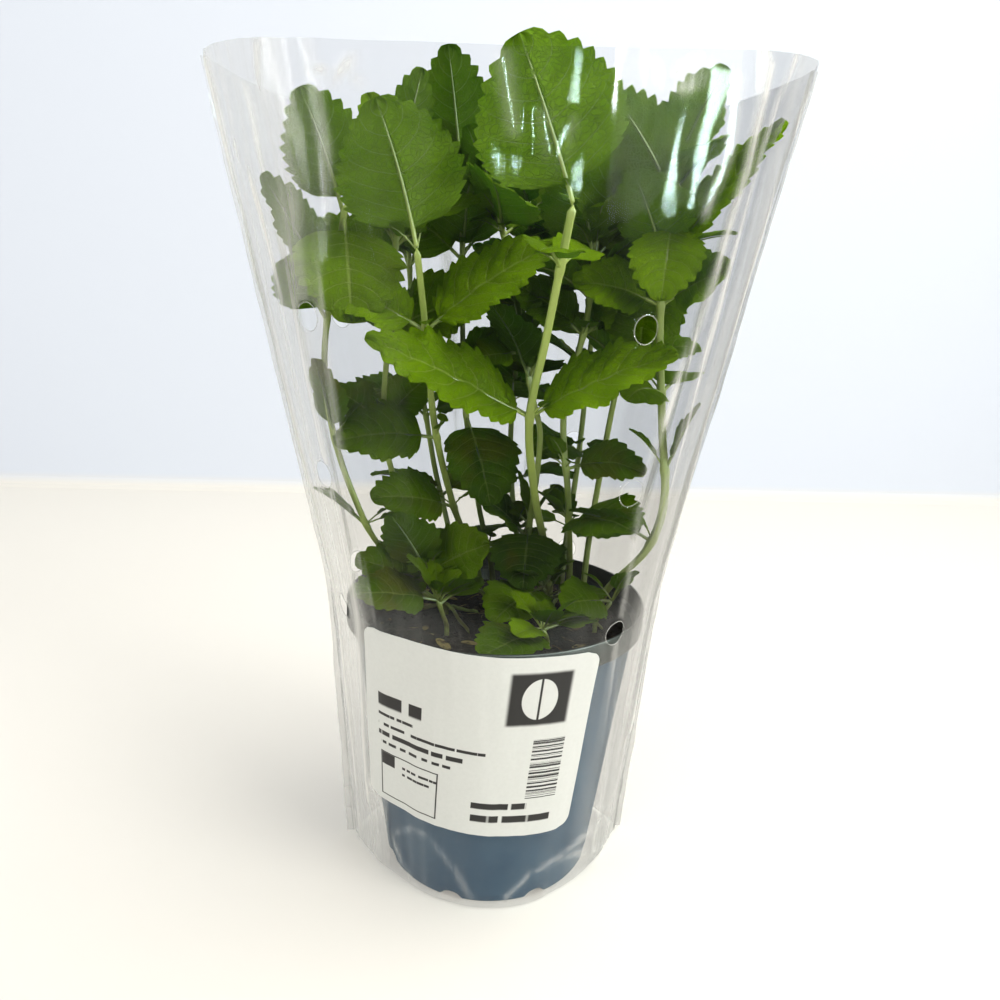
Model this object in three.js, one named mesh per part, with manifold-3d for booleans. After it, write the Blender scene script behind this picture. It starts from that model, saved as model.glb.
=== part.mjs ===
// Potted mint in a clear film sleeve, as it stands in a shop. A blue pot holds a plug of peat, and
// leafy stems and low shoots grow from the peat. A conical bag of film, open at its top and bottom,
// stands round the pot, and a paper label is stuck on its front sheet.
// Millimetres, +Z up. The foot of the pot stands on z = 0 and the pot's axis is the Z axis. The
// labelled sheet faces -Y, and the welded seams of the sleeve lie at -X and +X.

import * as THREE from 'three';
import { mergeVertices } from 'three/addons/utils/BufferGeometryUtils.js';
import Module from 'manifold-3d';

const wasm = await Module();
wasm.setup();

// ---------------------------------------------------------------- driving dimensions

const GAP = 0.3; // between pieces that rest on each other
const FULL_TURN = 2 * Math.PI;
const HEIGHT_OF_ALL = 312; // the sleeve's higher top corner

const POT = {
  height: 112,
  rimRadius: 60,
  footRadius: 43.5,
  wall: 1.2,
  collarHeight: 9,
  collarStep: 3.4,
  footRing: 2.6,
  floorUnderside: 3.5,
  floorTop: 5,
  segments: 40,
  notches: 8,
  notchWidth: 8,
  notchHeight: 2.4,
  drains: 8,
  drainRadius: 3.5,
  drainCircle: 31,
};

const SOIL = {
  edgeHeight: 98,
  mound: 2.5, // how far the middle stands above the edge
  bumps: 0.9,
  segments: 28,
  holeDepth: 11, // a stem's foot below the soil's edge height
};

// The sleeve's section at each height: half its width at the seams, half its depth, and how
// pointed the seams are, from 1 for an ellipse to 2 for a lens.
const SLEEVE = {
  sections: [
    { z: 0.8, halfWidth: 58, halfDepth: 47, point: 1.8 },
    { z: 117, halfWidth: 66, halfDepth: 63, point: 1.2 },
    { z: 200, halfWidth: 84, halfDepth: 63, point: 1.15 },
    { z: HEIGHT_OF_ALL, halfWidth: 107, halfDepth: 59, point: 1.15 },
  ],
  film: 0.5,
  segments: 40,
  topTilt: 4, // the higher corner above the middle of the two
  topDip: 13, // the middle of each sheet's top edge below its corners
  ventRadius: 4.5,
  ventArcs: [-72, 40], // from the middle line of a sheet to each column of vents
  ventHeights: [116, 167, 219.5],
};

const LABEL = {
  width: 79,
  height: 76,
  corner: 5,
  thickness: 0.4,
  middleHeight: 75,
  middleAngle: -11, // degrees from -Y towards +X
  tilt: -3, // degrees, as seen from the front
  cornerSteps: 4,
  wrapRadius: 58, // of the sheet under the label, about
};

const LEAF = {
  thickness: 0.7,
  petioleThickness: 1.2,
  petioleWidth: 1.7,
  petiole: 6, // from the stem's axis to the blade
  fold: 12, // degrees that each half of a blade stands up from the rib
  toothOut: 1.08,
  valleyIn: 0.9,
  toothForward: 0.75,
  wave: 0.07,
  clearance: 0.6, // added to a blade's thickness while a free place is looked for
};

// Turns and lifts, in degrees, tried in this order until a leaf is clear of its neighbours.
const BENDS = [
  [0, 0], [0, 10], [0, -10], [12, 0], [-12, 0], [12, 12], [-12, 12], [0, 22], [24, 0], [-24, 0],
  [24, 16], [-24, 16], [0, -22], [18, -14], [-18, -14], [38, 6], [-38, 6], [0, 36], [52, 0],
  [-52, 0], [30, 30], [-30, 30], [70, 10], [-70, 10], [0, 50],
];
const SIZES = [1, 0.8, 0.62]; // tried in turn where a leaf finds no place at full length
const STEM_STEP = 18; // between the sections of a stem, about

// ---------------------------------------------------------------- materials

const COLOURS = {
  pot: new THREE.MeshStandardMaterial({ color: 0x4f6f8c, roughness: 0.45, metalness: 0 }),
  soil: new THREE.MeshStandardMaterial({ color: 0x3a332d, roughness: 0.95, metalness: 0 }),
  leaf: new THREE.MeshStandardMaterial({ color: 0x3f7a14, roughness: 0.5, metalness: 0 }),
  shoot: new THREE.MeshStandardMaterial({ color: 0x6b8a2a, roughness: 0.55, metalness: 0 }),
  film: new THREE.MeshStandardMaterial({
    color: 0xeef4f6, roughness: 0.1, metalness: 0, transparent: true, opacity: 0.3,
  }),
  label: new THREE.MeshStandardMaterial({ color: 0xd8dad6, roughness: 0.6, metalness: 0 }),
};

// ---------------------------------------------------------------- solids and geometries

function solidOf(geometry) {
  const bare = geometry.clone();
  bare.deleteAttribute('normal');
  bare.deleteAttribute('uv');
  const merged = mergeVertices(bare, 1e-4);
  const triVerts = Uint32Array.from(merged.index.array);
  const mesh = new wasm.Mesh({ numProp: 3, vertProperties: merged.attributes.position.array, triVerts });
  return new wasm.Manifold(mesh);
}

function geometryOf(solid) {
  const mesh = solid.getMesh();
  const geometry = new THREE.BufferGeometry();
  geometry.setAttribute('position', new THREE.BufferAttribute(mesh.vertProperties, 3));
  geometry.setIndex(new THREE.BufferAttribute(mesh.triVerts, 1));
  geometry.computeVertexNormals();
  return geometry;
}

function surface(points, faces) {
  const geometry = new THREE.BufferGeometry();
  const numbers = points.flatMap((point) => [point.x, point.y, point.z]);
  geometry.setAttribute('position', new THREE.BufferAttribute(new Float32Array(numbers), 3));
  geometry.setIndex(faces.flat());
  return geometry;
}

function piece(name, solid, material) {
  const mesh = new THREE.Mesh(geometryOf(solid), material);
  mesh.name = name;
  return mesh;
}

const radians = (degrees) => (degrees * Math.PI) / 180;
const between = (low, high, share) => low + (high - low) * share;

// ---------------------------------------------------------------- pot

// The outer radius of the pot's wall under the collar.
function wallRadius(z) {
  const top = POT.rimRadius - POT.collarStep;
  return between(POT.footRadius, top, z / (POT.height - POT.collarHeight));
}

function makePot() {
  const collarFoot = POT.height - POT.collarHeight;
  const outerTop = wallRadius(collarFoot);
  const profile = [
    [0, POT.floorTop],
    [wallRadius(POT.floorTop) - POT.wall, POT.floorTop],
    [outerTop - POT.wall, collarFoot],
    [POT.rimRadius - POT.wall, collarFoot + POT.wall],
    [POT.rimRadius - POT.wall, POT.height],
    [POT.rimRadius, POT.height],
    [POT.rimRadius, collarFoot],
    [outerTop, collarFoot - POT.wall],
    [wallRadius(2), 2],
    [POT.footRadius - 0.8, 0],
    [POT.footRadius - POT.footRing, 0],
    [POT.footRadius - POT.footRing, POT.floorUnderside],
    [0, POT.floorUnderside],
  ].map(([r, z]) => new THREE.Vector2(r, z));
  const shell = new THREE.LatheGeometry(profile.reverse(), POT.segments);
  shell.rotateX(Math.PI / 2);
  let pot = solidOf(shell);
  const notch = new THREE.BoxGeometry(4 * POT.footRing, POT.notchWidth, 2 * POT.notchHeight);
  for (let i = 0; i < POT.notches; i += 1) {
    const cutter = notch.clone().translate(POT.footRadius, 0, 0);
    pot = pot.subtract(solidOf(cutter.rotateZ(((i + 0.5) * FULL_TURN) / POT.notches)));
  }
  const drain = new THREE.CylinderGeometry(POT.drainRadius, POT.drainRadius, 4 * POT.floorTop, 8);
  drain.rotateX(Math.PI / 2);
  for (let i = 0; i < POT.drains; i += 1) {
    const cutter = drain.clone().translate(POT.drainCircle, 0, 0);
    pot = pot.subtract(solidOf(cutter.rotateZ((i * FULL_TURN) / POT.drains)));
  }
  return pot;
}

// ---------------------------------------------------------------- soil

function makeSoil(feet) {
  const radiusAt = (z) => wallRadius(z) - POT.wall - GAP;
  const edge = radiusAt(SOIL.edgeHeight);
  const rings = [0.8, 0.6, 0.4, 0.2];
  const profile = [
    [0, POT.floorTop + GAP],
    [radiusAt(POT.floorTop), POT.floorTop + GAP],
    [edge, SOIL.edgeHeight],
    ...rings.map((share) => [share * edge, SOIL.edgeHeight]),
    [0, SOIL.edgeHeight],
  ].map(([r, z]) => new THREE.Vector2(r, z));
  const plug = new THREE.LatheGeometry(profile, SOIL.segments);
  plug.rotateX(Math.PI / 2);
  const spots = plug.attributes.position;
  for (let i = 0; i < spots.count; i += 1) {
    const [x, y, z] = [spots.getX(i), spots.getY(i), spots.getZ(i)];
    const inward = 1 - Math.hypot(x, y) / edge;
    if (z > SOIL.edgeHeight - 1 && inward > 0.01) {
      const bump = SOIL.bumps * (Math.sin(x / 6) * Math.cos(y / 7) + Math.sin((x - y) / 11));
      spots.setZ(i, z + Math.min(1, 4 * inward) * bump + SOIL.mound * Math.min(1, 2 * inward));
    }
  }
  let soil = solidOf(plug);
  for (const { x, y, side } of feet) {
    const radius = side * Math.SQRT1_2 + GAP;
    const depth = SOIL.holeDepth + GAP;
    const hole = new THREE.CylinderGeometry(radius, radius, 2 * depth, 8);
    hole.rotateX(Math.PI / 2).translate(x, y, SOIL.edgeHeight);
    soil = soil.subtract(solidOf(hole));
  }
  return soil;
}

// ---------------------------------------------------------------- sleeve

// A point of the sleeve, on a straight line from the section below to the section above. The
// angle is 0 in the middle of the front sheet and a quarter turn at the +X seam, and out moves the
// point away from the film.
function sleevePoint(angle, z, out) {
  const rows = SLEEVE.sections;
  const above = rows.findIndex((row, i) => i > 0 && (z <= row.z || i === rows.length - 1));
  const depthwise = Math.cos(angle);
  const [low, high] = [rows[above - 1], rows[above]].map(({ z: height, halfWidth, halfDepth, point }) => {
    const x = (halfWidth + out) * Math.sin(angle);
    const y = -(halfDepth + out) * Math.sign(depthwise) * Math.abs(depthwise) ** point;
    return new THREE.Vector3(x, y, height);
  });
  return low.lerp(high, (z - low.z) / (high.z - low.z));
}

// The skin of the sleeve at a distance from its film, as rings of points from bottom to top.
function sleeveRings(out, top) {
  const heights = SLEEVE.sections.map((row) => row.z);
  return heights.map((z, row) => {
    const ring = [];
    for (let i = 0; i < SLEEVE.segments; i += 1) {
      const angle = (i * FULL_TURN) / SLEEVE.segments;
      const isTop = row === heights.length - 1;
      const fall = SLEEVE.topTilt * (1 - Math.sin(angle)) + SLEEVE.topDip * Math.cos(angle) ** 2;
      const height = isTop ? top - fall : z;
      ring.push(sleevePoint(angle, height, out));
    }
    return ring;
  });
}

// Joins rings of as many points each into a skin. The rings run anticlockwise from above.
function bridge(rings, faces, start, flipped) {
  const count = rings[0].length;
  for (let row = 0; row + 1 < rings.length; row += 1) {
    for (let i = 0; i < count; i += 1) {
      const [a, b] = [start + row * count + i, start + row * count + ((i + 1) % count)];
      const [c, d] = [b + count, a + count];
      faces.push(...(flipped ? [[a, c, b], [a, d, c]] : [[a, b, c], [a, c, d]]));
    }
  }
}

function makeSleeve() {
  const half = SLEEVE.film / 2;
  const [outer, inner] = [sleeveRings(half, HEIGHT_OF_ALL), sleeveRings(-half, HEIGHT_OF_ALL)];
  const faces = [];
  const count = SLEEVE.segments;
  const innerStart = outer.length * count;
  bridge(outer, faces, 0, false);
  bridge(inner, faces, innerStart, true);
  for (let i = 0; i < count; i += 1) {
    const next = (i + 1) % count;
    const top = (outer.length - 1) * count;
    faces.push([i, innerStart + i, innerStart + next], [i, innerStart + next, next]);
    faces.push([top + i, top + next, innerStart + top + next]);
    faces.push([top + i, innerStart + top + next, innerStart + top + i]);
  }
  let sleeve = solidOf(surface([...outer, ...inner].flat(2), faces));
  for (const vent of ventPlaces()) {
    const punch = new THREE.CylinderGeometry(SLEEVE.ventRadius, SLEEVE.ventRadius, 12, 8);
    punch.rotateZ(Math.PI / 2).rotateZ(Math.atan2(vent.y, vent.x)).translate(vent.x, vent.y, vent.z);
    sleeve = sleeve.subtract(solidOf(punch));
  }
  return sleeve;
}

// Each vent is punched through both sheets of the flat bag, so its place is an arc length.
function ventPlaces() {
  const step = FULL_TURN / 720;
  return SLEEVE.ventHeights.flatMap((z) => SLEEVE.ventArcs.flatMap((goal) => {
    const way = Math.sign(goal) * step;
    let [angle, arc] = [0, 0];
    while (arc < Math.abs(goal)) {
      arc += sleevePoint(angle, z, 0).distanceTo(sleevePoint(angle + way, z, 0));
      angle += way;
    }
    return [sleevePoint(angle, z, 0), sleevePoint(Math.PI - angle, z, 0)];
  }));
}

// All the space inside the sleeve's skin at a distance from its film.
function sleeveRoom(out, top) {
  const rings = sleeveRings(out, top);
  const faces = [];
  const count = SLEEVE.segments;
  bridge(rings, faces, 0, false);
  const points = rings.flat();
  const [floor, ceiling] = [points.length, points.length + 1];
  const last = (rings.length - 1) * count;
  for (let i = 0; i < count; i += 1) {
    const next = (i + 1) % count;
    faces.push([floor, next, i], [ceiling, last + i, last + next]);
  }
  points.push(new THREE.Vector3(0, 0, rings[0][0].z), new THREE.Vector3(0, 0, HEIGHT_OF_ALL));
  return solidOf(surface(points, faces));
}

// ---------------------------------------------------------------- label

// The label is a layer round the sleeve, cut to its outline from the front.
function makeLabel() {
  const [halfWidth, halfHeight] = [LABEL.width / 2, LABEL.height / 2];
  const flat = new THREE.Shape();
  [[1, 1], [-1, 1], [-1, -1], [1, -1]].forEach(([x, y], i) => {
    const start = (i * Math.PI) / 2;
    const [middleX, middleY] = [x * (halfWidth - LABEL.corner), y * (halfHeight - LABEL.corner)];
    flat.absarc(middleX, middleY, LABEL.corner, start, start + Math.PI / 2);
  });
  const tilt = radians(LABEL.tilt);
  const wrapped = flat.getPoints(LABEL.cornerSteps).map(({ x, y }) => {
    const across = x * Math.cos(tilt) - y * Math.sin(tilt);
    const rise = x * Math.sin(tilt) + y * Math.cos(tilt);
    const angle = radians(LABEL.middleAngle) + across / LABEL.wrapRadius;
    const { x: seen, z } = sleevePoint(angle, LABEL.middleHeight + rise, 0);
    return new THREE.Vector2(seen, z);
  });
  const depth = 2 * POT.rimRadius;
  const cutter = new THREE.ExtrudeGeometry(new THREE.Shape(wrapped), { depth, bevelEnabled: false });
  cutter.rotateX(Math.PI / 2);
  const near = SLEEVE.film / 2 + GAP;
  const layer = sleeveRoom(near + LABEL.thickness, HEIGHT_OF_ALL).subtract(sleeveRoom(near, HEIGHT_OF_ALL));
  return layer.intersect(solidOf(cutter));
}

// ---------------------------------------------------------------- stems

// Each stem's path is x, y and z from the soil up, seen first from the front. Leaves that show
// singly have their height on the stem, the way they point, their rise and their size. The
// heights in pairs carry two leaves each, every pair at right angles to the last.
const STEMS = [
  {
    name: 'stem_front_centre', side: 3.2, turn: 60,
    path: [[26, 25, 103], [14, 2, 155], [9, -13, 185], [12, -25, 215], [16, -42, 257]],
    leaves: [
      { z: 257, azimuth: -155, pitch: 66, length: 49, width: 48, droop: 6, roll: 56, teeth: 5 },
      { z: 186, azimuth: -160, pitch: 37, length: 68, width: 36, droop: 8, roll: -40, teeth: 5 },
      { z: 186, azimuth: -19, pitch: 34, length: 58, width: 36, droop: 18, roll: 32, teeth: 5 },
    ],
    pairs: [238], length: 28,
  },
  {
    name: 'stem_front_left', side: 2.8, turn: 20,
    path: [[-5, 31, 103], [-18, 15, 145], [-26, 1, 179], [-30, -15, 217], [-33, -28, 243]],
    leaves: [
      { z: 243, azimuth: -141, pitch: 74, length: 45, width: 42, droop: 12, roll: 52, teeth: 5 },
      { z: 216, azimuth: 0, pitch: 42, length: 56, width: 34, droop: 16, roll: 37, teeth: 4 },
      { z: 216, azimuth: -176, pitch: 30, length: 40, width: 32, droop: 20, roll: -36, teeth: 3 },
      { z: 175, azimuth: -167, pitch: -2, length: 40, width: 32, droop: 24, roll: -35, teeth: 4 },
      { z: 144, azimuth: -156, pitch: 20, length: 37, width: 28, droop: 24, roll: -36, teeth: 3 },
    ],
    pairs: [], length: 30,
  },
  {
    name: 'stem_right', side: 3, turn: 50,
    path: [[46, 8, 103], [60, -7, 134], [64, -10, 154], [61, -9, 182], [55, -13, 230], [57, -15, 270]],
    leaves: [
      { z: 271, azimuth: -160, pitch: 28, length: 37, width: 24, droop: 10, roll: -10, teeth: 3 },
      { z: 243, azimuth: -20, pitch: 55, length: 58, width: 26, droop: 6, roll: 34, teeth: 4 },
      { z: 243, azimuth: -125, pitch: 60, length: 34, width: 32, droop: 10, roll: 15, teeth: 3 },
      { z: 228, azimuth: -43, pitch: 34, length: 28, width: 30, droop: 20, roll: 49, teeth: 3 },
      { z: 228, azimuth: 180, pitch: 22, length: 34, width: 28, droop: 26, roll: -45, teeth: 3 },
      { z: 166, azimuth: -43, pitch: 62, length: 30, width: 15, droop: 14, roll: 30, teeth: 3 },
      { z: 137, azimuth: 170, pitch: 30, length: 36, width: 26, droop: 30, roll: 20, teeth: 3 },
    ],
    pairs: [196], length: 28,
  },
  {
    name: 'stem_left', side: 2.4, turn: 20,
    path: [[-30, 31, 103], [-46, 15, 170], [-45, 12, 211], [-42, 7, 244], [-40, 5, 272]],
    leaves: [
      { z: 270, azimuth: 175, pitch: 70, length: 30, width: 22, droop: 10, roll: -50, teeth: 3 },
      { z: 270, azimuth: -36, pitch: 78, length: 36, width: 18, droop: 8, roll: -30, teeth: 3 },
      { z: 178, azimuth: -26, pitch: 48, length: 27, width: 22, droop: 20, roll: 45, teeth: 3 },
      { z: 178, azimuth: -172, pitch: 40, length: 25, width: 22, droop: 20, roll: -35, teeth: 3 },
      { z: 226, azimuth: -162, pitch: 46, length: 42, width: 36, droop: 16, roll: -62, teeth: 4 },
      { z: 214, azimuth: -14, pitch: 30, length: 44, width: 36, droop: 20, roll: 50, teeth: 4 },
    ],
    pairs: [246], length: 38,
  },
  {
    name: 'stem_far_left', side: 2.4, turn: 50,
    path: [[-39, 22, 103], [-53, 2, 140], [-64, -2, 174], [-67, -4, 207], [-58, -11, 258]],
    leaves: [
      { z: 254, azimuth: -159, pitch: 74, length: 41, width: 30, droop: 10, roll: 62, teeth: 4 },
      { z: 228, azimuth: 169, pitch: 62, length: 44, width: 26, droop: 6, roll: 32, teeth: 4 },
      { z: 218, azimuth: -125, pitch: 30, length: 36, width: 30, droop: 20, roll: 40, teeth: 3 },
      { z: 174, azimuth: -132, pitch: 78, length: 32, width: 20, droop: 10, roll: 0, teeth: 3 },
      { z: 139, azimuth: -165, pitch: 10, length: 26, width: 20, droop: 20, roll: 0, teeth: 2 },
    ],
    pairs: [], length: 30,
  },
  {
    name: 'stem_mid_left', side: 2.3, turn: 40,
    path: [[1, 27, 103], [-7, 25, 144], [-14, 22, 188], [-17, 18, 254], [-18, 15, 276]],
    leaves: [
      { z: 274, azimuth: -116, pitch: 84, length: 42, width: 26, droop: 6, roll: 20, teeth: 3 },
      { z: 182, azimuth: -94, pitch: -62, length: 40, width: 38, droop: 14, roll: 0, teeth: 4 },
      { z: 243, azimuth: -75, pitch: 58, length: 38, width: 30, droop: 10, roll: -15, teeth: 3 },
      { z: 243, azimuth: -147, pitch: 36, length: 32, width: 28, droop: 16, roll: -60, teeth: 3 },
    ],
    pairs: [200, 224], length: 40,
  },
  {
    name: 'stem_mid', side: 2.4, turn: 65,
    path: [[13, 21, 103], [16, 6, 175], [11, 4, 195], [6, 8, 222], [-5, 11, 266]],
    leaves: [
      { z: 209, azimuth: -162, pitch: -4, length: 22, width: 20, droop: 10, roll: -30, teeth: 2 },
      { z: 130, azimuth: 161, pitch: 34, length: 34, width: 26, droop: 24, roll: -20, teeth: 3 },
    ],
    pairs: [198, 226, 252], length: 40,
  },
  {
    name: 'stem_mid_right', side: 2.6, turn: 50,
    path: [[35, 25, 103], [29, 7, 150], [25, 6, 187], [31, 2, 222], [33, 3, 258]],
    leaves: [
      { z: 244, azimuth: -136, pitch: 58, length: 38, width: 34, droop: 10, roll: 30, teeth: 3 },
      { z: 244, azimuth: -32, pitch: 44, length: 34, width: 32, droop: 20, roll: 55, teeth: 3 },
      { z: 216, azimuth: -31, pitch: 44, length: 36, width: 32, droop: 20, roll: 52, teeth: 3 },
      { z: 216, azimuth: 160, pitch: 30, length: 34, width: 30, droop: 20, roll: -40, teeth: 3 },
      { z: 163, azimuth: -20, pitch: 20, length: 33, width: 24, droop: 46, roll: 30, teeth: 3 },
    ],
    pairs: [230, 256], length: 40,
  },
  {
    name: 'stem_behind_right', side: 2.4, turn: 35,
    path: [[41, 22, 103], [46, 20, 172], [51, 14, 218], [58, 4, 273]],
    leaves: [
      { z: 272, azimuth: -42, pitch: 66, length: 42, width: 34, droop: 8, roll: -15, teeth: 4 },
      { z: 272, azimuth: -142, pitch: 78, length: 36, width: 30, droop: 8, roll: 30, teeth: 3 },
      { z: 268, azimuth: 165, pitch: 70, length: 52, width: 20, droop: 4, roll: 5, teeth: 3 },
      { z: 262, azimuth: 80, pitch: 50, length: 34, width: 30, droop: 20, roll: 0, teeth: 3 },
    ],
    pairs: [204, 240], length: 40,
  },
  {
    name: 'stem_back_left', side: 2.4, turn: 50,
    path: [[-16, 40, 103], [-27, 44, 160], [-36, 42, 215], [-39, 38, 262]],
    leaves: [],
    pairs: [142, 178, 210, 240], length: 40,
  },
  {
    name: 'stem_back', side: 2.4, turn: 5,
    path: [[14, 41, 103], [8, 43, 160], [9, 39, 215], [12, 36, 265]],
    leaves: [],
    pairs: [150, 186, 216, 246], length: 40,
  },
  {
    name: 'stem_back_right', side: 2.4, turn: 45,
    path: [[33, 33, 103], [38, 38, 160], [40, 36, 210], [41, 30, 256]],
    leaves: [],
    pairs: [164, 200, 234], length: 40,
  },
  {
    name: 'shoot_front', side: 2, turn: 20,
    path: [[23, 0, 103], [22, -1, 108], [19, -2, 116]],
    leaves: [
      { z: 115, azimuth: -130, pitch: 2, length: 36, width: 28, droop: 20, roll: -10, teeth: 3 },
      { z: 110, azimuth: 5, pitch: 10, length: 26, width: 22, droop: 20, roll: 0, teeth: 3 },
      { z: 115, azimuth: 75, pitch: 30, length: 22, width: 16, droop: 20, roll: 0, teeth: 2 },
    ],
    pairs: [], length: 20,
  },
  {
    name: 'shoot_near', side: 2, turn: 20,
    path: [[18, -28, 103], [17, -30, 106], [15, -31, 110]],
    leaves: [
      { z: 108, azimuth: -158, pitch: 8, length: 36, width: 26, droop: 10, roll: -6, teeth: 3 },
      { z: 109, azimuth: 15, pitch: 12, length: 22, width: 16, droop: 20, roll: 0, teeth: 2 },
    ],
    pairs: [], length: 20,
  },
  {
    name: 'shoot_left', side: 2, turn: 20,
    path: [[-20, 4, 103], [-25, 1, 112], [-28, -3, 122]],
    leaves: [
      { z: 121, azimuth: -23, pitch: 58, length: 30, width: 27, droop: 12, roll: 60, teeth: 3 },
      { z: 120, azimuth: -152, pitch: 72, length: 32, width: 24, droop: 10, roll: 50, teeth: 3 },
      { z: 114, azimuth: -157, pitch: 42, length: 42, width: 28, droop: 16, roll: -42, teeth: 4 },
      { z: 116, azimuth: 155, pitch: 30, length: 30, width: 24, droop: 20, roll: 0, teeth: 3 },
    ],
    pairs: [], length: 20,
  },
  {
    name: 'shoot_near_left', side: 2, turn: 20,
    path: [[-20, -16, 103], [-22, -18, 110], [-24, -20, 117]],
    leaves: [
      { z: 116, azimuth: -162, pitch: 6, length: 34, width: 26, droop: 12, roll: -20, teeth: 3 },
      { z: 114, azimuth: 100, pitch: 20, length: 24, width: 20, droop: 20, roll: 0, teeth: 2 },
    ],
    pairs: [], length: 20,
  },
  {
    name: 'shoot_right', side: 2, turn: 20,
    path: [[40, -10, 103], [43, -11, 108], [46, -12, 114]],
    leaves: [
      { z: 113, azimuth: -148, pitch: 14, length: 27, width: 22, droop: 16, roll: -30, teeth: 3 },
      { z: 113, azimuth: -20, pitch: 62, length: 17, width: 14, droop: 20, roll: -30, teeth: 2 },
    ],
    pairs: [], length: 20,
  },
];

// The axis of a stem at a height: its path as a smooth curve, upright where it leaves the soil.
function stemAt(path, z) {
  if (z <= path[0][2]) return new THREE.Vector3(path[0][0], path[0][1], z);
  const last = path.length - 1;
  let i = 0;
  while (i < last - 1 && z > path[i + 1][2]) i += 1;
  const slope = (k, axis) => {
    if (k === 0) return 0;
    const [low, high] = [path[k - 1], path[Math.min(k + 1, last)]];
    return (high[axis] - low[axis]) / (high[2] - low[2]);
  };
  const [low, high] = [path[i], path[i + 1]];
  const rise = high[2] - low[2];
  const t = (z - low[2]) / rise;
  const place = (axis) => {
    const ends = (2 * t ** 3 - 3 * t ** 2 + 1) * low[axis] + (3 * t ** 2 - 2 * t ** 3) * high[axis];
    const slopes = (t ** 3 - 2 * t ** 2 + t) * slope(i, axis) + (t ** 3 - t ** 2) * slope(i + 1, axis);
    return ends + rise * slopes;
  };
  return new THREE.Vector3(place(0), place(1), z);
}

function makeStem({ path, side }) {
  const [start, top] = [path[0][2], path[path.length - 1][2]];
  const steps = Math.max(3, Math.round((top - start) / STEM_STEP));
  const heights = [SOIL.edgeHeight - SOIL.holeDepth];
  for (let i = 0; i <= steps; i += 1) heights.push(between(start, top, i / steps));
  const corners = [[-1, -1], [1, -1], [1, 1], [-1, 1]];
  const rings = heights.map((z) => {
    const axis = stemAt(path, z);
    const shift = ([x, y]) => new THREE.Vector3(axis.x + (x * side) / 2, axis.y + (y * side) / 2, z);
    return corners.map(shift);
  });
  const last = 4 * (rings.length - 1);
  const faces = [[0, 3, 2], [0, 2, 1], [last, last + 1, last + 2], [last, last + 2, last + 3]];
  bridge(rings, faces, 0, false);
  return solidOf(surface(rings.flat(), faces));
}

// ---------------------------------------------------------------- leaves

// The rib of a leaf: a straight petiole from the stem's axis and then an arc that droops.
function ribFrame(leaf, share) {
  const [azimuth, pitch, roll] = [leaf.azimuth, leaf.pitch, leaf.roll].map(radians);
  const droop = radians(leaf.droop) || 1e-3;
  const rise = pitch - droop * Math.max(0, share);
  const blade = leaf.length - LEAF.petiole;
  const petiole = share < 0 ? 0 : LEAF.petiole;
  const along = petiole * Math.cos(pitch)
    + (share > 0 ? (blade * (Math.sin(pitch) - Math.sin(rise))) / droop : 0);
  const up = petiole * Math.sin(pitch)
    + (share > 0 ? (blade * (Math.cos(rise) - Math.cos(pitch))) / droop : 0);
  const ahead = new THREE.Vector3(Math.cos(azimuth), Math.sin(azimuth), 0);
  const left = new THREE.Vector3(-Math.sin(azimuth), Math.cos(azimuth), 0);
  const above = ahead.clone().multiplyScalar(-Math.sin(rise));
  above.z = Math.cos(rise);
  const side = left.clone().multiplyScalar(Math.cos(roll)).addScaledVector(above, Math.sin(roll));
  const normal = above.multiplyScalar(Math.cos(roll)).addScaledVector(left, -Math.sin(roll));
  const place = leaf.base.clone().addScaledVector(ahead, along);
  place.z += up;
  return { place, side, normal };
}

// Half the width of a blade at a share of its length.
const halfWidthAt = (leaf, share) => (leaf.width / 2) * Math.sin(Math.PI * share ** 0.72) ** 0.62;

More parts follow.
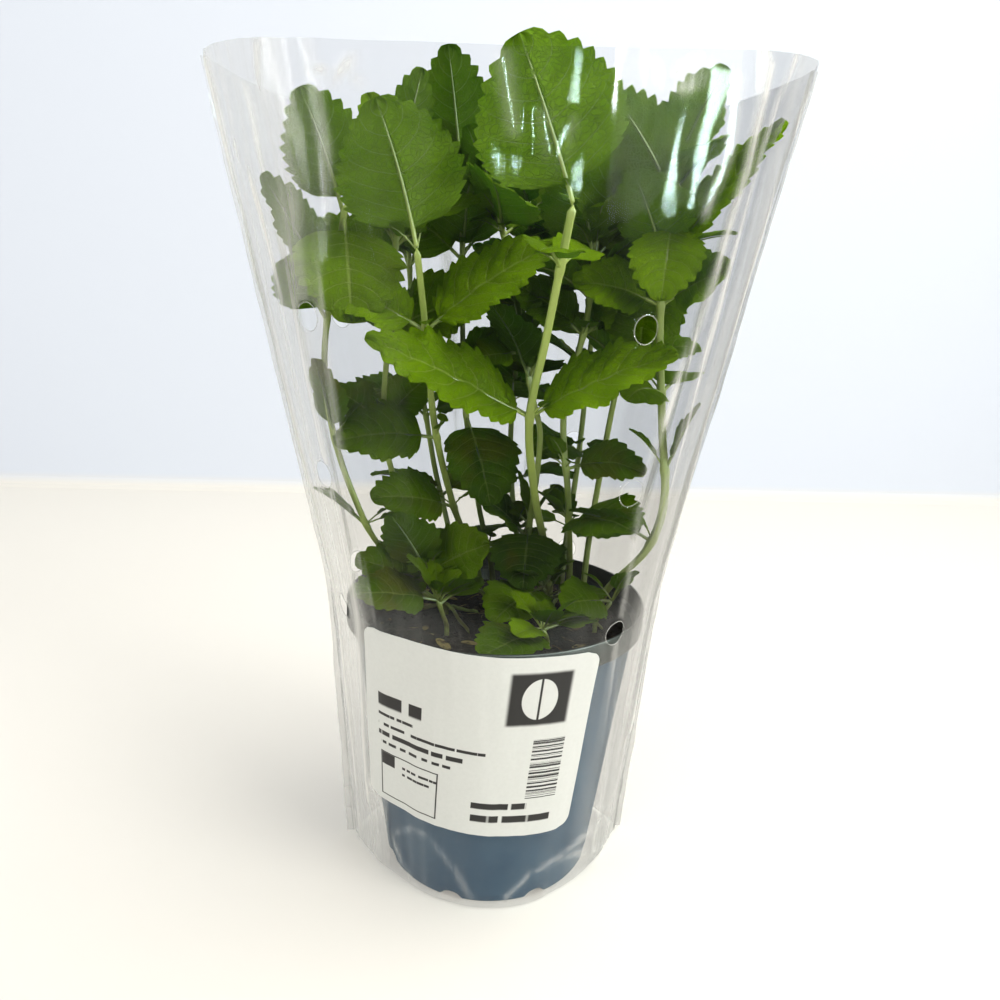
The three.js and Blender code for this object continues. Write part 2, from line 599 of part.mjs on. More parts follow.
// A blade's points, two for each place, above and below. The rows are the root and the foot of
// the blade and then the valleys between the teeth, each with its left, rib and right point.
function makeLeaf(leaf, extra = 0, withPetiole = true) {
  const points = [];
  const put = (share, across, lift, thickness) => {
    const { place, side, normal } = ribFrame(leaf, share);
    const fold = radians(LEAF.fold);
    place.addScaledVector(side, across * Math.cos(fold));
    place.addScaledVector(normal, Math.abs(across) * Math.sin(fold) + lift);
    for (const way of [0.5, -0.5]) {
      points.push(place.clone().addScaledVector(normal, way * (thickness + extra)));
    }
    return points.length / 2 - 1;
  };
  const rows = [];
  const teeth = [];
  const halfPetiole = LEAF.petioleWidth / 2;
  const row = (share, half, thickness) => {
    rows.push([half, 0, -half].map((across) => put(share, across, 0, thickness)));
  };
  if (withPetiole) row(-1, halfPetiole, LEAF.petioleThickness);
  row(0, halfPetiole, LEAF.petioleThickness);
  const step = 1 / (leaf.teeth + 1);
  for (let i = 0; i < leaf.teeth; i += 1) {
    const toothShare = (i + LEAF.toothForward) * step;
    const half = halfWidthAt(leaf, toothShare) * LEAF.toothOut;
    const lift = (i % 2 ? 1 : -1) * LEAF.wave * half;
    teeth.push([half, -half].map((across) => put(toothShare, across, lift, LEAF.thickness)));
    row((i + 1) * step, halfWidthAt(leaf, (i + 1) * step) * LEAF.valleyIn, LEAF.thickness);
  }
  const tip = put(1, 0, 0, LEAF.thickness);

  const faces = [];
  const top = (a, b, c) => {
    faces.push([2 * a, 2 * b, 2 * c], [2 * a + 1, 2 * c + 1, 2 * b + 1]);
  };
  // A wall stands under an edge of the outline, which runs anticlockwise as seen from above.
  const wall = (a, b) => {
    faces.push([2 * a, 2 * a + 1, 2 * b + 1], [2 * a, 2 * b + 1, 2 * b]);
  };
  const first = rows.length - leaf.teeth - 1;
  if (withPetiole) {
    const [root, foot] = rows;
    top(root[0], root[1], foot[1]);
    top(root[0], foot[1], foot[0]);
    top(root[1], root[2], foot[2]);
    top(root[1], foot[2], foot[1]);
    wall(foot[0], root[0]);
    wall(root[2], foot[2]);
  }
  wall(rows[0][0], rows[0][1]);
  wall(rows[0][1], rows[0][2]);
  teeth.forEach(([left, right], i) => {
    const [low, high] = [rows[first + i], rows[first + i + 1]];
    top(low[1], high[1], left);
    top(low[1], left, low[0]);
    top(high[1], high[0], left);
    top(high[1], low[1], right);
    top(low[1], low[2], right);
    top(high[1], right, high[2]);
    wall(left, low[0]);
    wall(high[0], left);
    wall(low[2], right);
    wall(right, high[2]);
  });
  const end = rows[rows.length - 1];
  top(end[1], tip, end[0]);
  top(end[1], end[2], tip);
  wall(tip, end[0]);
  wall(end[2], tip);
  return solidOf(surface(points, faces));
}

// ---------------------------------------------------------------- the plant

let seed = 11;
function random(low, high) {
  seed = (seed * 1664525 + 1013904223) % 2 ** 32;
  return between(low, high, seed / 2 ** 32);
}

// The leaves of a stem that stand in pairs, and the small ones at its tip.
function pairedLeaves(stem) {
  const top = stem.path[stem.path.length - 1][2];
  const leaves = [];
  stem.pairs.forEach((z, pair) => {
    for (const opposite of [0, 180]) {
      const share = (z - SOIL.edgeHeight) / (top - SOIL.edgeHeight);
      const length = stem.length * between(0.8, 1.05, share) * random(0.88, 1.12);
      leaves.push({
        z,
        azimuth: stem.turn + 90 * pair + opposite + random(-14, 14),
        pitch: between(8, 44, share) + random(-16, 16),
        length,
        width: length * random(0.68, 0.84),
        droop: random(20, 60),
        roll: random(-34, 34),
        teeth: length < 24 ? 2 : 3,
      });
    }
  });
  return leaves;
}

function tipLeaves(stem) {
  const top = stem.path[stem.path.length - 1][2];
  if (stem.leaves.length > 0) return [];
  return [0, 180].map((opposite) => ({
    z: top - 2,
    azimuth: stem.turn + 45 + opposite + random(-20, 20),
    pitch: 52 + random(-8, 8),
    length: random(17, 22),
    width: random(10, 13),
    droop: 20,
    roll: 0,
    teeth: 2,
  }));
}

// The outer skin of a fused plant, without hollows that the fusing sealed or scraps it cut loose.
function largestBody(solid) {
  return solid.decompose().reduce((a, b) => (b.volume() > a.volume() ? b : a));
}

function meets(solid, other) {
  const [a, b] = [solid.boundingBox(), other.boundingBox()];
  const apart = [0, 1, 2].some((axis) => a.min[axis] > b.max[axis] || b.min[axis] > a.max[axis]);
  return !apart && solid.intersect(other).volume() > 1e-4;
}

// Bends each leaf clear of the other plants, of its stem's other leaves and of what surrounds it.
function growLeaves(stems, room) {
  const placed = [];
  const waiting = [];
  stems.forEach((stem) => stem.leaves.forEach((leaf) => waiting.push([stem, leaf])));
  stems.forEach((stem) => {
    [...pairedLeaves(stem), ...tipLeaves(stem)].forEach((leaf) => waiting.push([stem, leaf]));
  });
  for (const [stem, wish] of waiting) {
    const others = stems.filter((other) => other !== stem).map((other) => other.solid);
    const near = placed.filter((leaf) => leaf.stem !== stem).map((leaf) => leaf.whole);
    const beside = placed.filter((leaf) => leaf.stem === stem).map((leaf) => leaf.blade);
    const found = firstClear(stem, wish, room, [...others, ...near], beside);
    if (found) placed.push(found);
  }
  return placed;
}

function firstClear(stem, wish, room, others, beside) {
  for (const size of SIZES) {
    for (const [turn, lift] of BENDS) {
      const leaf = {
        ...wish,
        base: stemAt(stem.path, wish.z),
        azimuth: wish.azimuth + turn,
        pitch: wish.pitch + lift,
        length: wish.length * size,
        width: wish.width * size,
      };
      const whole = makeLeaf(leaf, LEAF.clearance);
      if (whole.subtract(room).volume() > 1e-4) continue;
      if (others.some((other) => meets(whole, other))) continue;
      const blade = makeLeaf(leaf, LEAF.clearance, false);
      if (beside.some((other) => meets(blade, other))) continue;
      return { stem, leaf, whole, blade };
    }
  }
  return null;
}

// ---------------------------------------------------------------- assembly

const plant = new THREE.Group();
const pot = makePot();
const feet = STEMS.map(({ path, side }) => ({ x: path[0][0], y: path[0][1], side }));
const soil = makeSoil(feet);
const sleeve = makeSleeve();
const stems = STEMS.map((stem) => ({ ...stem, solid: makeStem(stem) }));
const leafTop = HEIGHT_OF_ALL + 2 * SLEEVE.topDip; // leaves may stand above the sheets' top edge
const room = sleeveRoom(-SLEEVE.film / 2 - GAP, leafTop).subtract(pot).subtract(soil);
const leaves = growLeaves(stems, room);

plant.add(piece('pot', pot, COLOURS.pot));
plant.add(piece('soil', soil, COLOURS.soil));
for (const stem of stems) {
  const own = leaves.filter((leaf) => leaf.stem === stem);
  const fused = own.reduce((sum, { leaf }) => sum.add(makeLeaf(leaf)), stem.solid);
  const solid = largestBody(fused);
  plant.add(piece(stem.name, solid, stem.name.startsWith('shoot') ? COLOURS.shoot : COLOURS.leaf));
}
plant.add(piece('sleeve', sleeve, COLOURS.film));
plant.add(piece('label', makeLabel(), COLOURS.label));

export default plant;
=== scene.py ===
# Potted mint in a clear film sleeve. The pieces are made in the order in which they are put
# together: the pot, its peat, the stems and shoots with their leaves, the sleeve and the label.
# The frame gives the places and sizes. Lengths are in millimetres until a mesh is finished.

import math
import random

import bmesh
import bpy
from mathutils import Matrix, Vector, kdtree, noise


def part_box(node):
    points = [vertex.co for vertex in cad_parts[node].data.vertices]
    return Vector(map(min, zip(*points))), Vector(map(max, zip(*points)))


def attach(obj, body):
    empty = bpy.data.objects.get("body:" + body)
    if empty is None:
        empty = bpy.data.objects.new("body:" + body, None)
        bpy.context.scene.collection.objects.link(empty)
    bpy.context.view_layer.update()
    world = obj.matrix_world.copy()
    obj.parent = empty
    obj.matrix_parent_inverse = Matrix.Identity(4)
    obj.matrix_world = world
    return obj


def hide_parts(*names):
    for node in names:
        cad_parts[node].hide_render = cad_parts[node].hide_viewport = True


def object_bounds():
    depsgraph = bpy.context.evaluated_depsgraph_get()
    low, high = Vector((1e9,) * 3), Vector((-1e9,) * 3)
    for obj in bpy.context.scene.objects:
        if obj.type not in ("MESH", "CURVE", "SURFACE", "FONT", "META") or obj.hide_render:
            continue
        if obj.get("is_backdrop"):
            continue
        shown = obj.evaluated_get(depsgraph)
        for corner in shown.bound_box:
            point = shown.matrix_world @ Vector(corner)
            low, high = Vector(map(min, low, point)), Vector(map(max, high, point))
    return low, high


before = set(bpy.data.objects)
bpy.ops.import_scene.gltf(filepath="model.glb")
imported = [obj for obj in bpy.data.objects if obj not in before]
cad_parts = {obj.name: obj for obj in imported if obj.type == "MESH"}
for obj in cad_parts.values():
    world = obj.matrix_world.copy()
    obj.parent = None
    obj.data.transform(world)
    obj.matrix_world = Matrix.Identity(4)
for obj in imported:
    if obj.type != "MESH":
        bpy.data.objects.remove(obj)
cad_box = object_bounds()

# ---------------------------------------------------------------- pot
# A nursery pot moulded in one piece of blue polypropylene. It has a collar to stack it by, a foot
# ring with gaps where water runs off, and drain holes in its floor. It carries all the rest.

MM = 0.001
FULL_TURN = 2 * math.pi


class Wire:
    """An output of a node. Sums on wires add the Math nodes, and make() adds any other node."""

    def __init__(self, tree, socket=None):
        self.tree = tree
        self.socket = socket

    def make(self, kind, settings=None, sockets=None, out=0):
        node = self.tree.nodes.new(kind)
        for name, value in (settings or {}).items():
            setattr(node, name, value)
        for name, value in (sockets or {}).items():
            if isinstance(value, Wire):
                self.tree.links.new(value.socket, node.inputs[name])
            else:
                node.inputs[name].default_value = value
        return Wire(self.tree, node.outputs[out])

    def maths(self, operation, *others):
        return self.make("ShaderNodeMath", {"operation": operation}, dict(enumerate((self, *others))))

    def __add__(self, other):
        return self.maths("ADD", other)

    def __sub__(self, other):
        return self.maths("SUBTRACT", other)

    def __mul__(self, other):
        return self.maths("MULTIPLY", other)

    def __pow__(self, other):
        return self.maths("POWER", other)

    def __rsub__(self, other):
        return self.make("ShaderNodeMath", {"operation": "SUBTRACT"}, {0: other, 1: self})

    __radd__ = __add__
    __rmul__ = __mul__

    def ramp(self, start, end):
        """0 up to start and 1 from end on, or the other way round where end is the lower."""
        low, high, values = (start, end, (0, 1)) if start < end else (end, start, (1, 0))
        sockets = {0: self, 1: low, 2: high, 3: values[0], 4: values[1]}
        return self.make("ShaderNodeMapRange", {"interpolation_type": "SMOOTHSTEP"}, sockets)

    def tint(self, low, high):
        """The colour low where this is 0 and the colour high where it is 1."""
        colours = {6: low, 7: high}
        full = {i: c if isinstance(c, Wire) else (*c, 1) for i, c in colours.items()}
        return self.make("ShaderNodeMix", {"data_type": "RGBA"}, {0: self, **full}, out=2)

    def part(self, axis):
        """X, Y or Z of a place, asked for as 0, 1 or 2."""
        return self.make("ShaderNodeSeparateXYZ", None, {0: self}, out=axis)

    def mark(self, name, out="Fac"):
        """What the mesh holds at each of its points under a name."""
        return self.make("ShaderNodeAttribute", {"attribute_name": name}, out=out)

    def surface(self, sockets):
        return self.make("ShaderNodeBsdfPrincipled", None, sockets)

    def clouds(self, where, scale, detail=4, roughness=0.55):
        sockets = {"Vector": where, "Scale": scale, "Detail": detail, "Roughness": roughness}
        return self.make("ShaderNodeTexNoise", None, sockets)

    def stretched(self, where, scale):
        return self.make("ShaderNodeMapping", None, {"Vector": where, "Scale": scale})

    def bump(self, height, strength, distance):
        sockets = {"Height": height, "Strength": strength, "Distance": distance}
        return self.make("ShaderNodeBump", None, sockets)


def paint(name):
    """A new material, a wire to build it from, and its Object coordinates."""
    made = bpy.data.materials.new(name)
    made.use_nodes = True
    made.node_tree.nodes.clear()
    start = Wire(made.node_tree)
    return made, start, start.make("ShaderNodeTexCoord", out="Object")


def cover(start, shader):
    """Ends a material with its shader."""
    last = start.tree.nodes.new("ShaderNodeOutputMaterial")
    start.tree.links.new(shader.socket, last.inputs["Surface"])


def as_object(name, shape, paints, sharp):
    """Makes a mesh in millimetres an object. Edges are sharp from that many degrees on."""
    bmesh.ops.scale(shape, vec=(MM, MM, MM), verts=shape.verts)
    for face in shape.faces:
        face.smooth = True
    for edge in shape.edges:
        edge.smooth = not edge.is_manifold or edge.calc_face_angle() < math.radians(sharp)
    mesh = bpy.data.meshes.new(name)
    shape.to_mesh(mesh)
    shape.free()
    for material in paints:
        mesh.materials.append(material)
    made = bpy.data.objects.new(name, mesh)
    bpy.context.collection.objects.link(made)
    return made


def finish_piece(name, shape, paints, nodes=(), sharp=35):
    """Makes a finished mesh a piece that rides on the part."""
    piece = as_object(name, shape, paints, sharp)
    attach(piece, "root")
    if nodes:
        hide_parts(*nodes)


def turned(profile, steps):
    """A closed body from a profile of radii and heights that starts and ends on the Z axis."""
    shape = bmesh.new()
    chain = [shape.verts.new((radius, 0, z)) for radius, z in profile]
    line = [shape.edges.new(pair) for pair in zip(chain, chain[1:])]
    spun = {"cent": (0, 0, 0), "axis": (0, 0, 1), "angle": FULL_TURN, "steps": steps}
    bmesh.ops.spin(shape, geom=chain + line, use_merge=True, **spun)
    bmesh.ops.remove_doubles(shape, verts=shape.verts, dist=1e-4)
    bmesh.ops.recalc_face_normals(shape, faces=shape.faces)
    return shape


pot_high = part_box("pot")[1] / MM
pot_height = pot_high.z
rim_radius = pot_high.x
wall = 1.2
collar_height = 9
foot_radius = 43.5
floor_top, floor_under = 5, 3.5
foot_ring = 2.6
collar_foot = pot_height - collar_height
wall_top = rim_radius - 3.4
notch_count = drain_count = 8
notch_half_width, notch_height = 4, 2.4
notch_pull = 5  # how high the wall over a notch is drawn together
drain_radius, drain_circle = 3.5, 31


def wall_radius(z):
    """The outer radius of the pot under its collar."""
    return foot_radius + (wall_top - foot_radius) * z / collar_foot


lip = 0.5
pot_profile = [
    (0, floor_top),
    (wall_radius(floor_top) - wall - 2, floor_top),
    (wall_radius(floor_top) - wall, floor_top + 1.5),
    (wall_top - wall, collar_foot - 0.6),
    (wall_top - wall + 0.6, collar_foot + 0.3),
    (rim_radius - wall - 0.6, collar_foot + 0.6),
    (rim_radius - wall, collar_foot + 1.2),
    (rim_radius - wall, pot_height - lip),
    (rim_radius - wall + lip / 2, pot_height),
    (rim_radius - lip / 2, pot_height),
    (rim_radius, pot_height - lip),
    (rim_radius, collar_foot + lip),
    (rim_radius - lip, collar_foot),
    (wall_top + 0.5, collar_foot - 0.4),
    (wall_top, collar_foot - 1.2),
    (wall_radius(70), 70),
    (wall_radius(40), 40),
    (wall_radius(8), 8),
    (wall_radius(4), 4),
    (wall_radius(2), 1.4),
    (foot_radius - 0.2, 0.5),
    (foot_radius - 0.9, 0),
    (foot_radius - foot_ring + 0.4, 0),
    (foot_radius - foot_ring, 0.4),
    (foot_radius - foot_ring, floor_under),
    (0, floor_under),
]
pot_shape = turned(pot_profile, steps=288)
for vert in pot_shape.verts:
    # The gaps in the foot ring are arches, and the wall is drawn up into them.
    radius = math.hypot(vert.co.x, vert.co.y)
    if radius > foot_radius - foot_ring - 0.1 and vert.co.z < notch_height + 2:
        share = math.atan2(vert.co.y, vert.co.x) / FULL_TURN * notch_count
        aside = abs(share - math.floor(share) - 0.5) / notch_count * FULL_TURN * foot_radius
        arch = notch_height * math.sqrt(max(0, 1 - (aside / notch_half_width) ** 2))
        vert.co.z = max(vert.co.z, arch + vert.co.z * (1 - arch / notch_pull))

drains = bmesh.new()
for i in range(drain_count):
    turn = Matrix.Rotation(i * FULL_TURN / drain_count, 4, "Z")
    place = turn @ Matrix.Translation((drain_circle, 0, floor_top))
    size = {"radius1": drain_radius, "radius2": drain_radius, "depth": 4 * floor_top}
    bmesh.ops.create_cone(drains, cap_ends=True, segments=32, matrix=place, **size)


def cut_out(shape, cutter):
    """Cuts one closed body out of another and gives back the first."""
    bodies = []
    for name, body in (("whole", shape), ("cutter", cutter)):
        mesh = bpy.data.meshes.new(name)
        body.to_mesh(mesh)
        body.free()
        bodies.append(bpy.data.objects.new(name, mesh))
        bpy.context.collection.objects.link(bodies[-1])
    boolean = bodies[0].modifiers.new("cut", "BOOLEAN")
    boolean.object = bodies[1]
    boolean.solver = "EXACT"
    result = bmesh.new()
    result.from_object(bodies[0], bpy.context.evaluated_depsgraph_get())
    for body in bodies:
        mesh = body.data
        bpy.data.objects.remove(body)
        bpy.data.meshes.remove(mesh)
    return result


pot_shape = cut_out(pot_shape, drains)

pot_paint, wire, where = paint("pot_plastic")
mottle = wire.clouds(where, 45)
grime = wire.clouds(where, 160, 6, 0.65).ramp(0.56, 0.72)
height = where.part(2)
blue = mottle.ramp(0.3, 0.7).tint((0.055, 0.110, 0.175), (0.078, 0.142, 0.210))
dusty = grime * height.ramp(0.035, 0.004) * 0.35
body = dusty.tint(blue, (0.19, 0.24, 0.28))
dark = height.ramp(collar_foot * MM - 0.0025, collar_foot * MM)
x, y = where.part(0), where.part(1)
# The collar is dark grey plastic. The inside and underside of the pot get the same dark grey as painted
# shade, though that plastic is blue.
depth = (x * x + y * y) ** 0.5 - height * ((wall_top - foot_radius) / collar_foot)
dark = dark.maths("MAXIMUM", depth.ramp((foot_radius - 0.5) * MM, (foot_radius - 0.9) * MM))
colour = dark.tint(body, (0.040, 0.043, 0.036))
streaks = wire.clouds(wire.stretched(where, (260, 260, 14)), 1, 3)
relief = streaks * 0.6 + mottle * 0.4
cover(wire, wire.surface({
    "Base Color": colour,
    "Roughness": 0.36 + mottle * 0.2 + grime * 0.1,
    "Specular IOR Level": 0.45,
    "Normal": wire.bump(relief, 0.25, 0.0004),
}))
finish_piece("pot", pot_shape, [pot_paint], ["pot"])

# ---------------------------------------------------------------- peat
# The root ball is a plug of damp dark peat that fills the pot to below its collar. Its top is
# uneven, with loose crumbs, straw-coloured fibres and a few dead leaves lying on it.

soil_edge = 98
soil_mound = 2.5
soil_gap = 0.3
peat_radius = wall_radius(soil_edge) - wall - soil_gap
ring_count = 44
peat_profile = [
    (0, floor_top + soil_gap),
    (wall_radius(floor_top) - wall - 2.4, floor_top + soil_gap),
    (wall_radius(floor_top + 2) - wall - soil_gap, floor_top + 2),
]
peat_profile += [(peat_radius * (1 - i / ring_count), soil_edge) for i in range(ring_count + 1)]


def soil_height(x, y):
    """The top of the peat: a low mound with clods and crumbs."""
    inward = 1 - math.hypot(x, y) / peat_radius
    spot = Vector((x, y, 0))
    clods = 1.1 * noise.noise(spot / 9) + 0.9 * noise.noise(spot / 3.5) + 0.45 * noise.noise(spot / 1.3)
    shelf = min(1, max(0, 5 * inward))
    return soil_edge + soil_mound * min(1, 2 * max(0, inward)) + clods * shelf


peat = turned(peat_profile, steps=150)
for vert in peat.verts:
    if vert.co.z > soil_edge - 1:
        vert.co.z = soil_height(vert.co.x, vert.co.y)
peat_paint, wire, where = paint("peat")
clods = wire.clouds(where, 300, 8, 0.7)
grains = wire.make("ShaderNodeTexVoronoi", None, {"Vector": where, "Scale": 900})
damp = wire.clouds(where, 55)
dark = damp.ramp(0.35, 0.65).tint((0.019, 0.015, 0.012), (0.036, 0.028, 0.021))
colour = clods.ramp(0.52, 0.75).tint(dark, (0.085, 0.066, 0.048))
cover(wire, wire.surface({
    "Base Color": colour,
    "Roughness": 0.78 + damp * 0.2,
    "Normal": wire.bump(clods + grains * 0.5, 0.8, 0.0009),
}))
finish_piece("peat", peat, [peat_paint], ["soil"], sharp=60)

dice = random.Random(4)


def soil_spot(reach=0.96):
    """A place on the peat, drawn evenly over its disc."""
    radius = peat_radius * reach * math.sqrt(dice.random())
    turn = FULL_TURN * dice.random()
    x, y = radius * math.cos(turn), radius * math.sin(turn)
    return Vector((x, y, soil_height(x, y)))


crumb_count, litter_count = 650, 150
crumbs = bmesh.new()
shade = crumbs.verts.layers.float.new("shade")
for _ in range(crumb_count):
    size = 0.35 + 1.3 * dice.random() ** 3
    place = Matrix.Translation(soil_spot()) @ Matrix.Rotation(FULL_TURN * dice.random(), 4, (1, 2, 3))
    stretch = Matrix.Diagonal((size, size * (0.5 + dice.random() / 2), size * 0.6, 1))
    made = bmesh.ops.create_icosphere(crumbs, subdivisions=1, radius=1, matrix=place @ stretch)
    tone = dice.random()
    for vert in made["verts"]:
        vert[shade] = tone
        vert.co += 0.25 * size * noise.noise_vector(vert.co * 2)
crumb_paint, wire, where = paint("peat_crumbs")
cover(wire, wire.surface({
    "Base Color": (wire.mark("shade") ** 4).tint((0.020, 0.016, 0.013), (0.16, 0.12, 0.075)),
    "Roughness": 0.9,
    "Normal": wire.bump(wire.clouds(where, 900), 0.6, 0.0004),
}))
finish_piece("peat_crumbs", crumbs, [crumb_paint], sharp=80)

# Fibres, bits of old stem and dead leaves: thin strips that lie on the crumbs. Most of them
# gather behind the middle of the pot, where the stems are thickest.

litter_middle, litter_reach = (16, 20), (24, 20)


def strip(shape, length, width, thickness, curl):
    """A flat spindle of a few faces, bowed along its length, with its middle at the origin."""
    made = bmesh.ops.create_uvsphere(shape, u_segments=5, v_segments=7, radius=0.5)
    for vert in made["verts"]:
        aside, up, along = vert.co
        bow = curl * length * (0.25 - along**2)
        vert.co = (along * length, aside * width + bow, up * thickness + bow)
    return made["verts"]


litter = bmesh.new()
shade = litter.verts.layers.float.new("shade")
for i in range(litter_count):
    leaf_like = i % 6 == 0
    length = 5 + 6 * dice.random() if leaf_like else 3 + 9 * dice.random() ** 2
    width = length * 0.5 if leaf_like else 0.35 + 0.4 * dice.random()
    bits = strip(litter, length, width, 0.25, 0.3 * dice.random())
    spot = soil_spot(0.9)
    if i % 3:
        x, y = (m + r * dice.uniform(-1, 1) for m, r in zip(litter_middle, litter_reach))
        spot = Vector((x, y, soil_height(x, y)))
    lean = Matrix.Rotation(math.radians(dice.uniform(-14, 22)), 4, "Y")
    turn = Matrix.Rotation(FULL_TURN * dice.random(), 4, "Z")
    place = Matrix.Translation(spot + Vector((0, 0, 0.5))) @ turn @ lean
    tone = dice.random()
    for vert in bits:
        vert.co = place @ vert.co
        vert[shade] = tone
litter_paint, wire, where = paint("dry_litter")
colour = wire.mark("shade").tint((0.13, 0.07, 0.02), (0.36, 0.30, 0.10))
colour = wire.clouds(where, 400).ramp(0.45, 0.7).tint(colour, (0.07, 0.045, 0.02))
cover(wire, wire.surface({"Base Color": colour, "Roughness": 0.7}))
finish_piece("dry_litter", litter, [litter_paint], sharp=50)

# ---------------------------------------------------------------- stems, shoots and leaves
# Square green stems stand in the peat, with toothed leaves in pairs, and low shoots lie between
# their feet. Each is one living piece: stem, petioles, and blades with sunken veins.

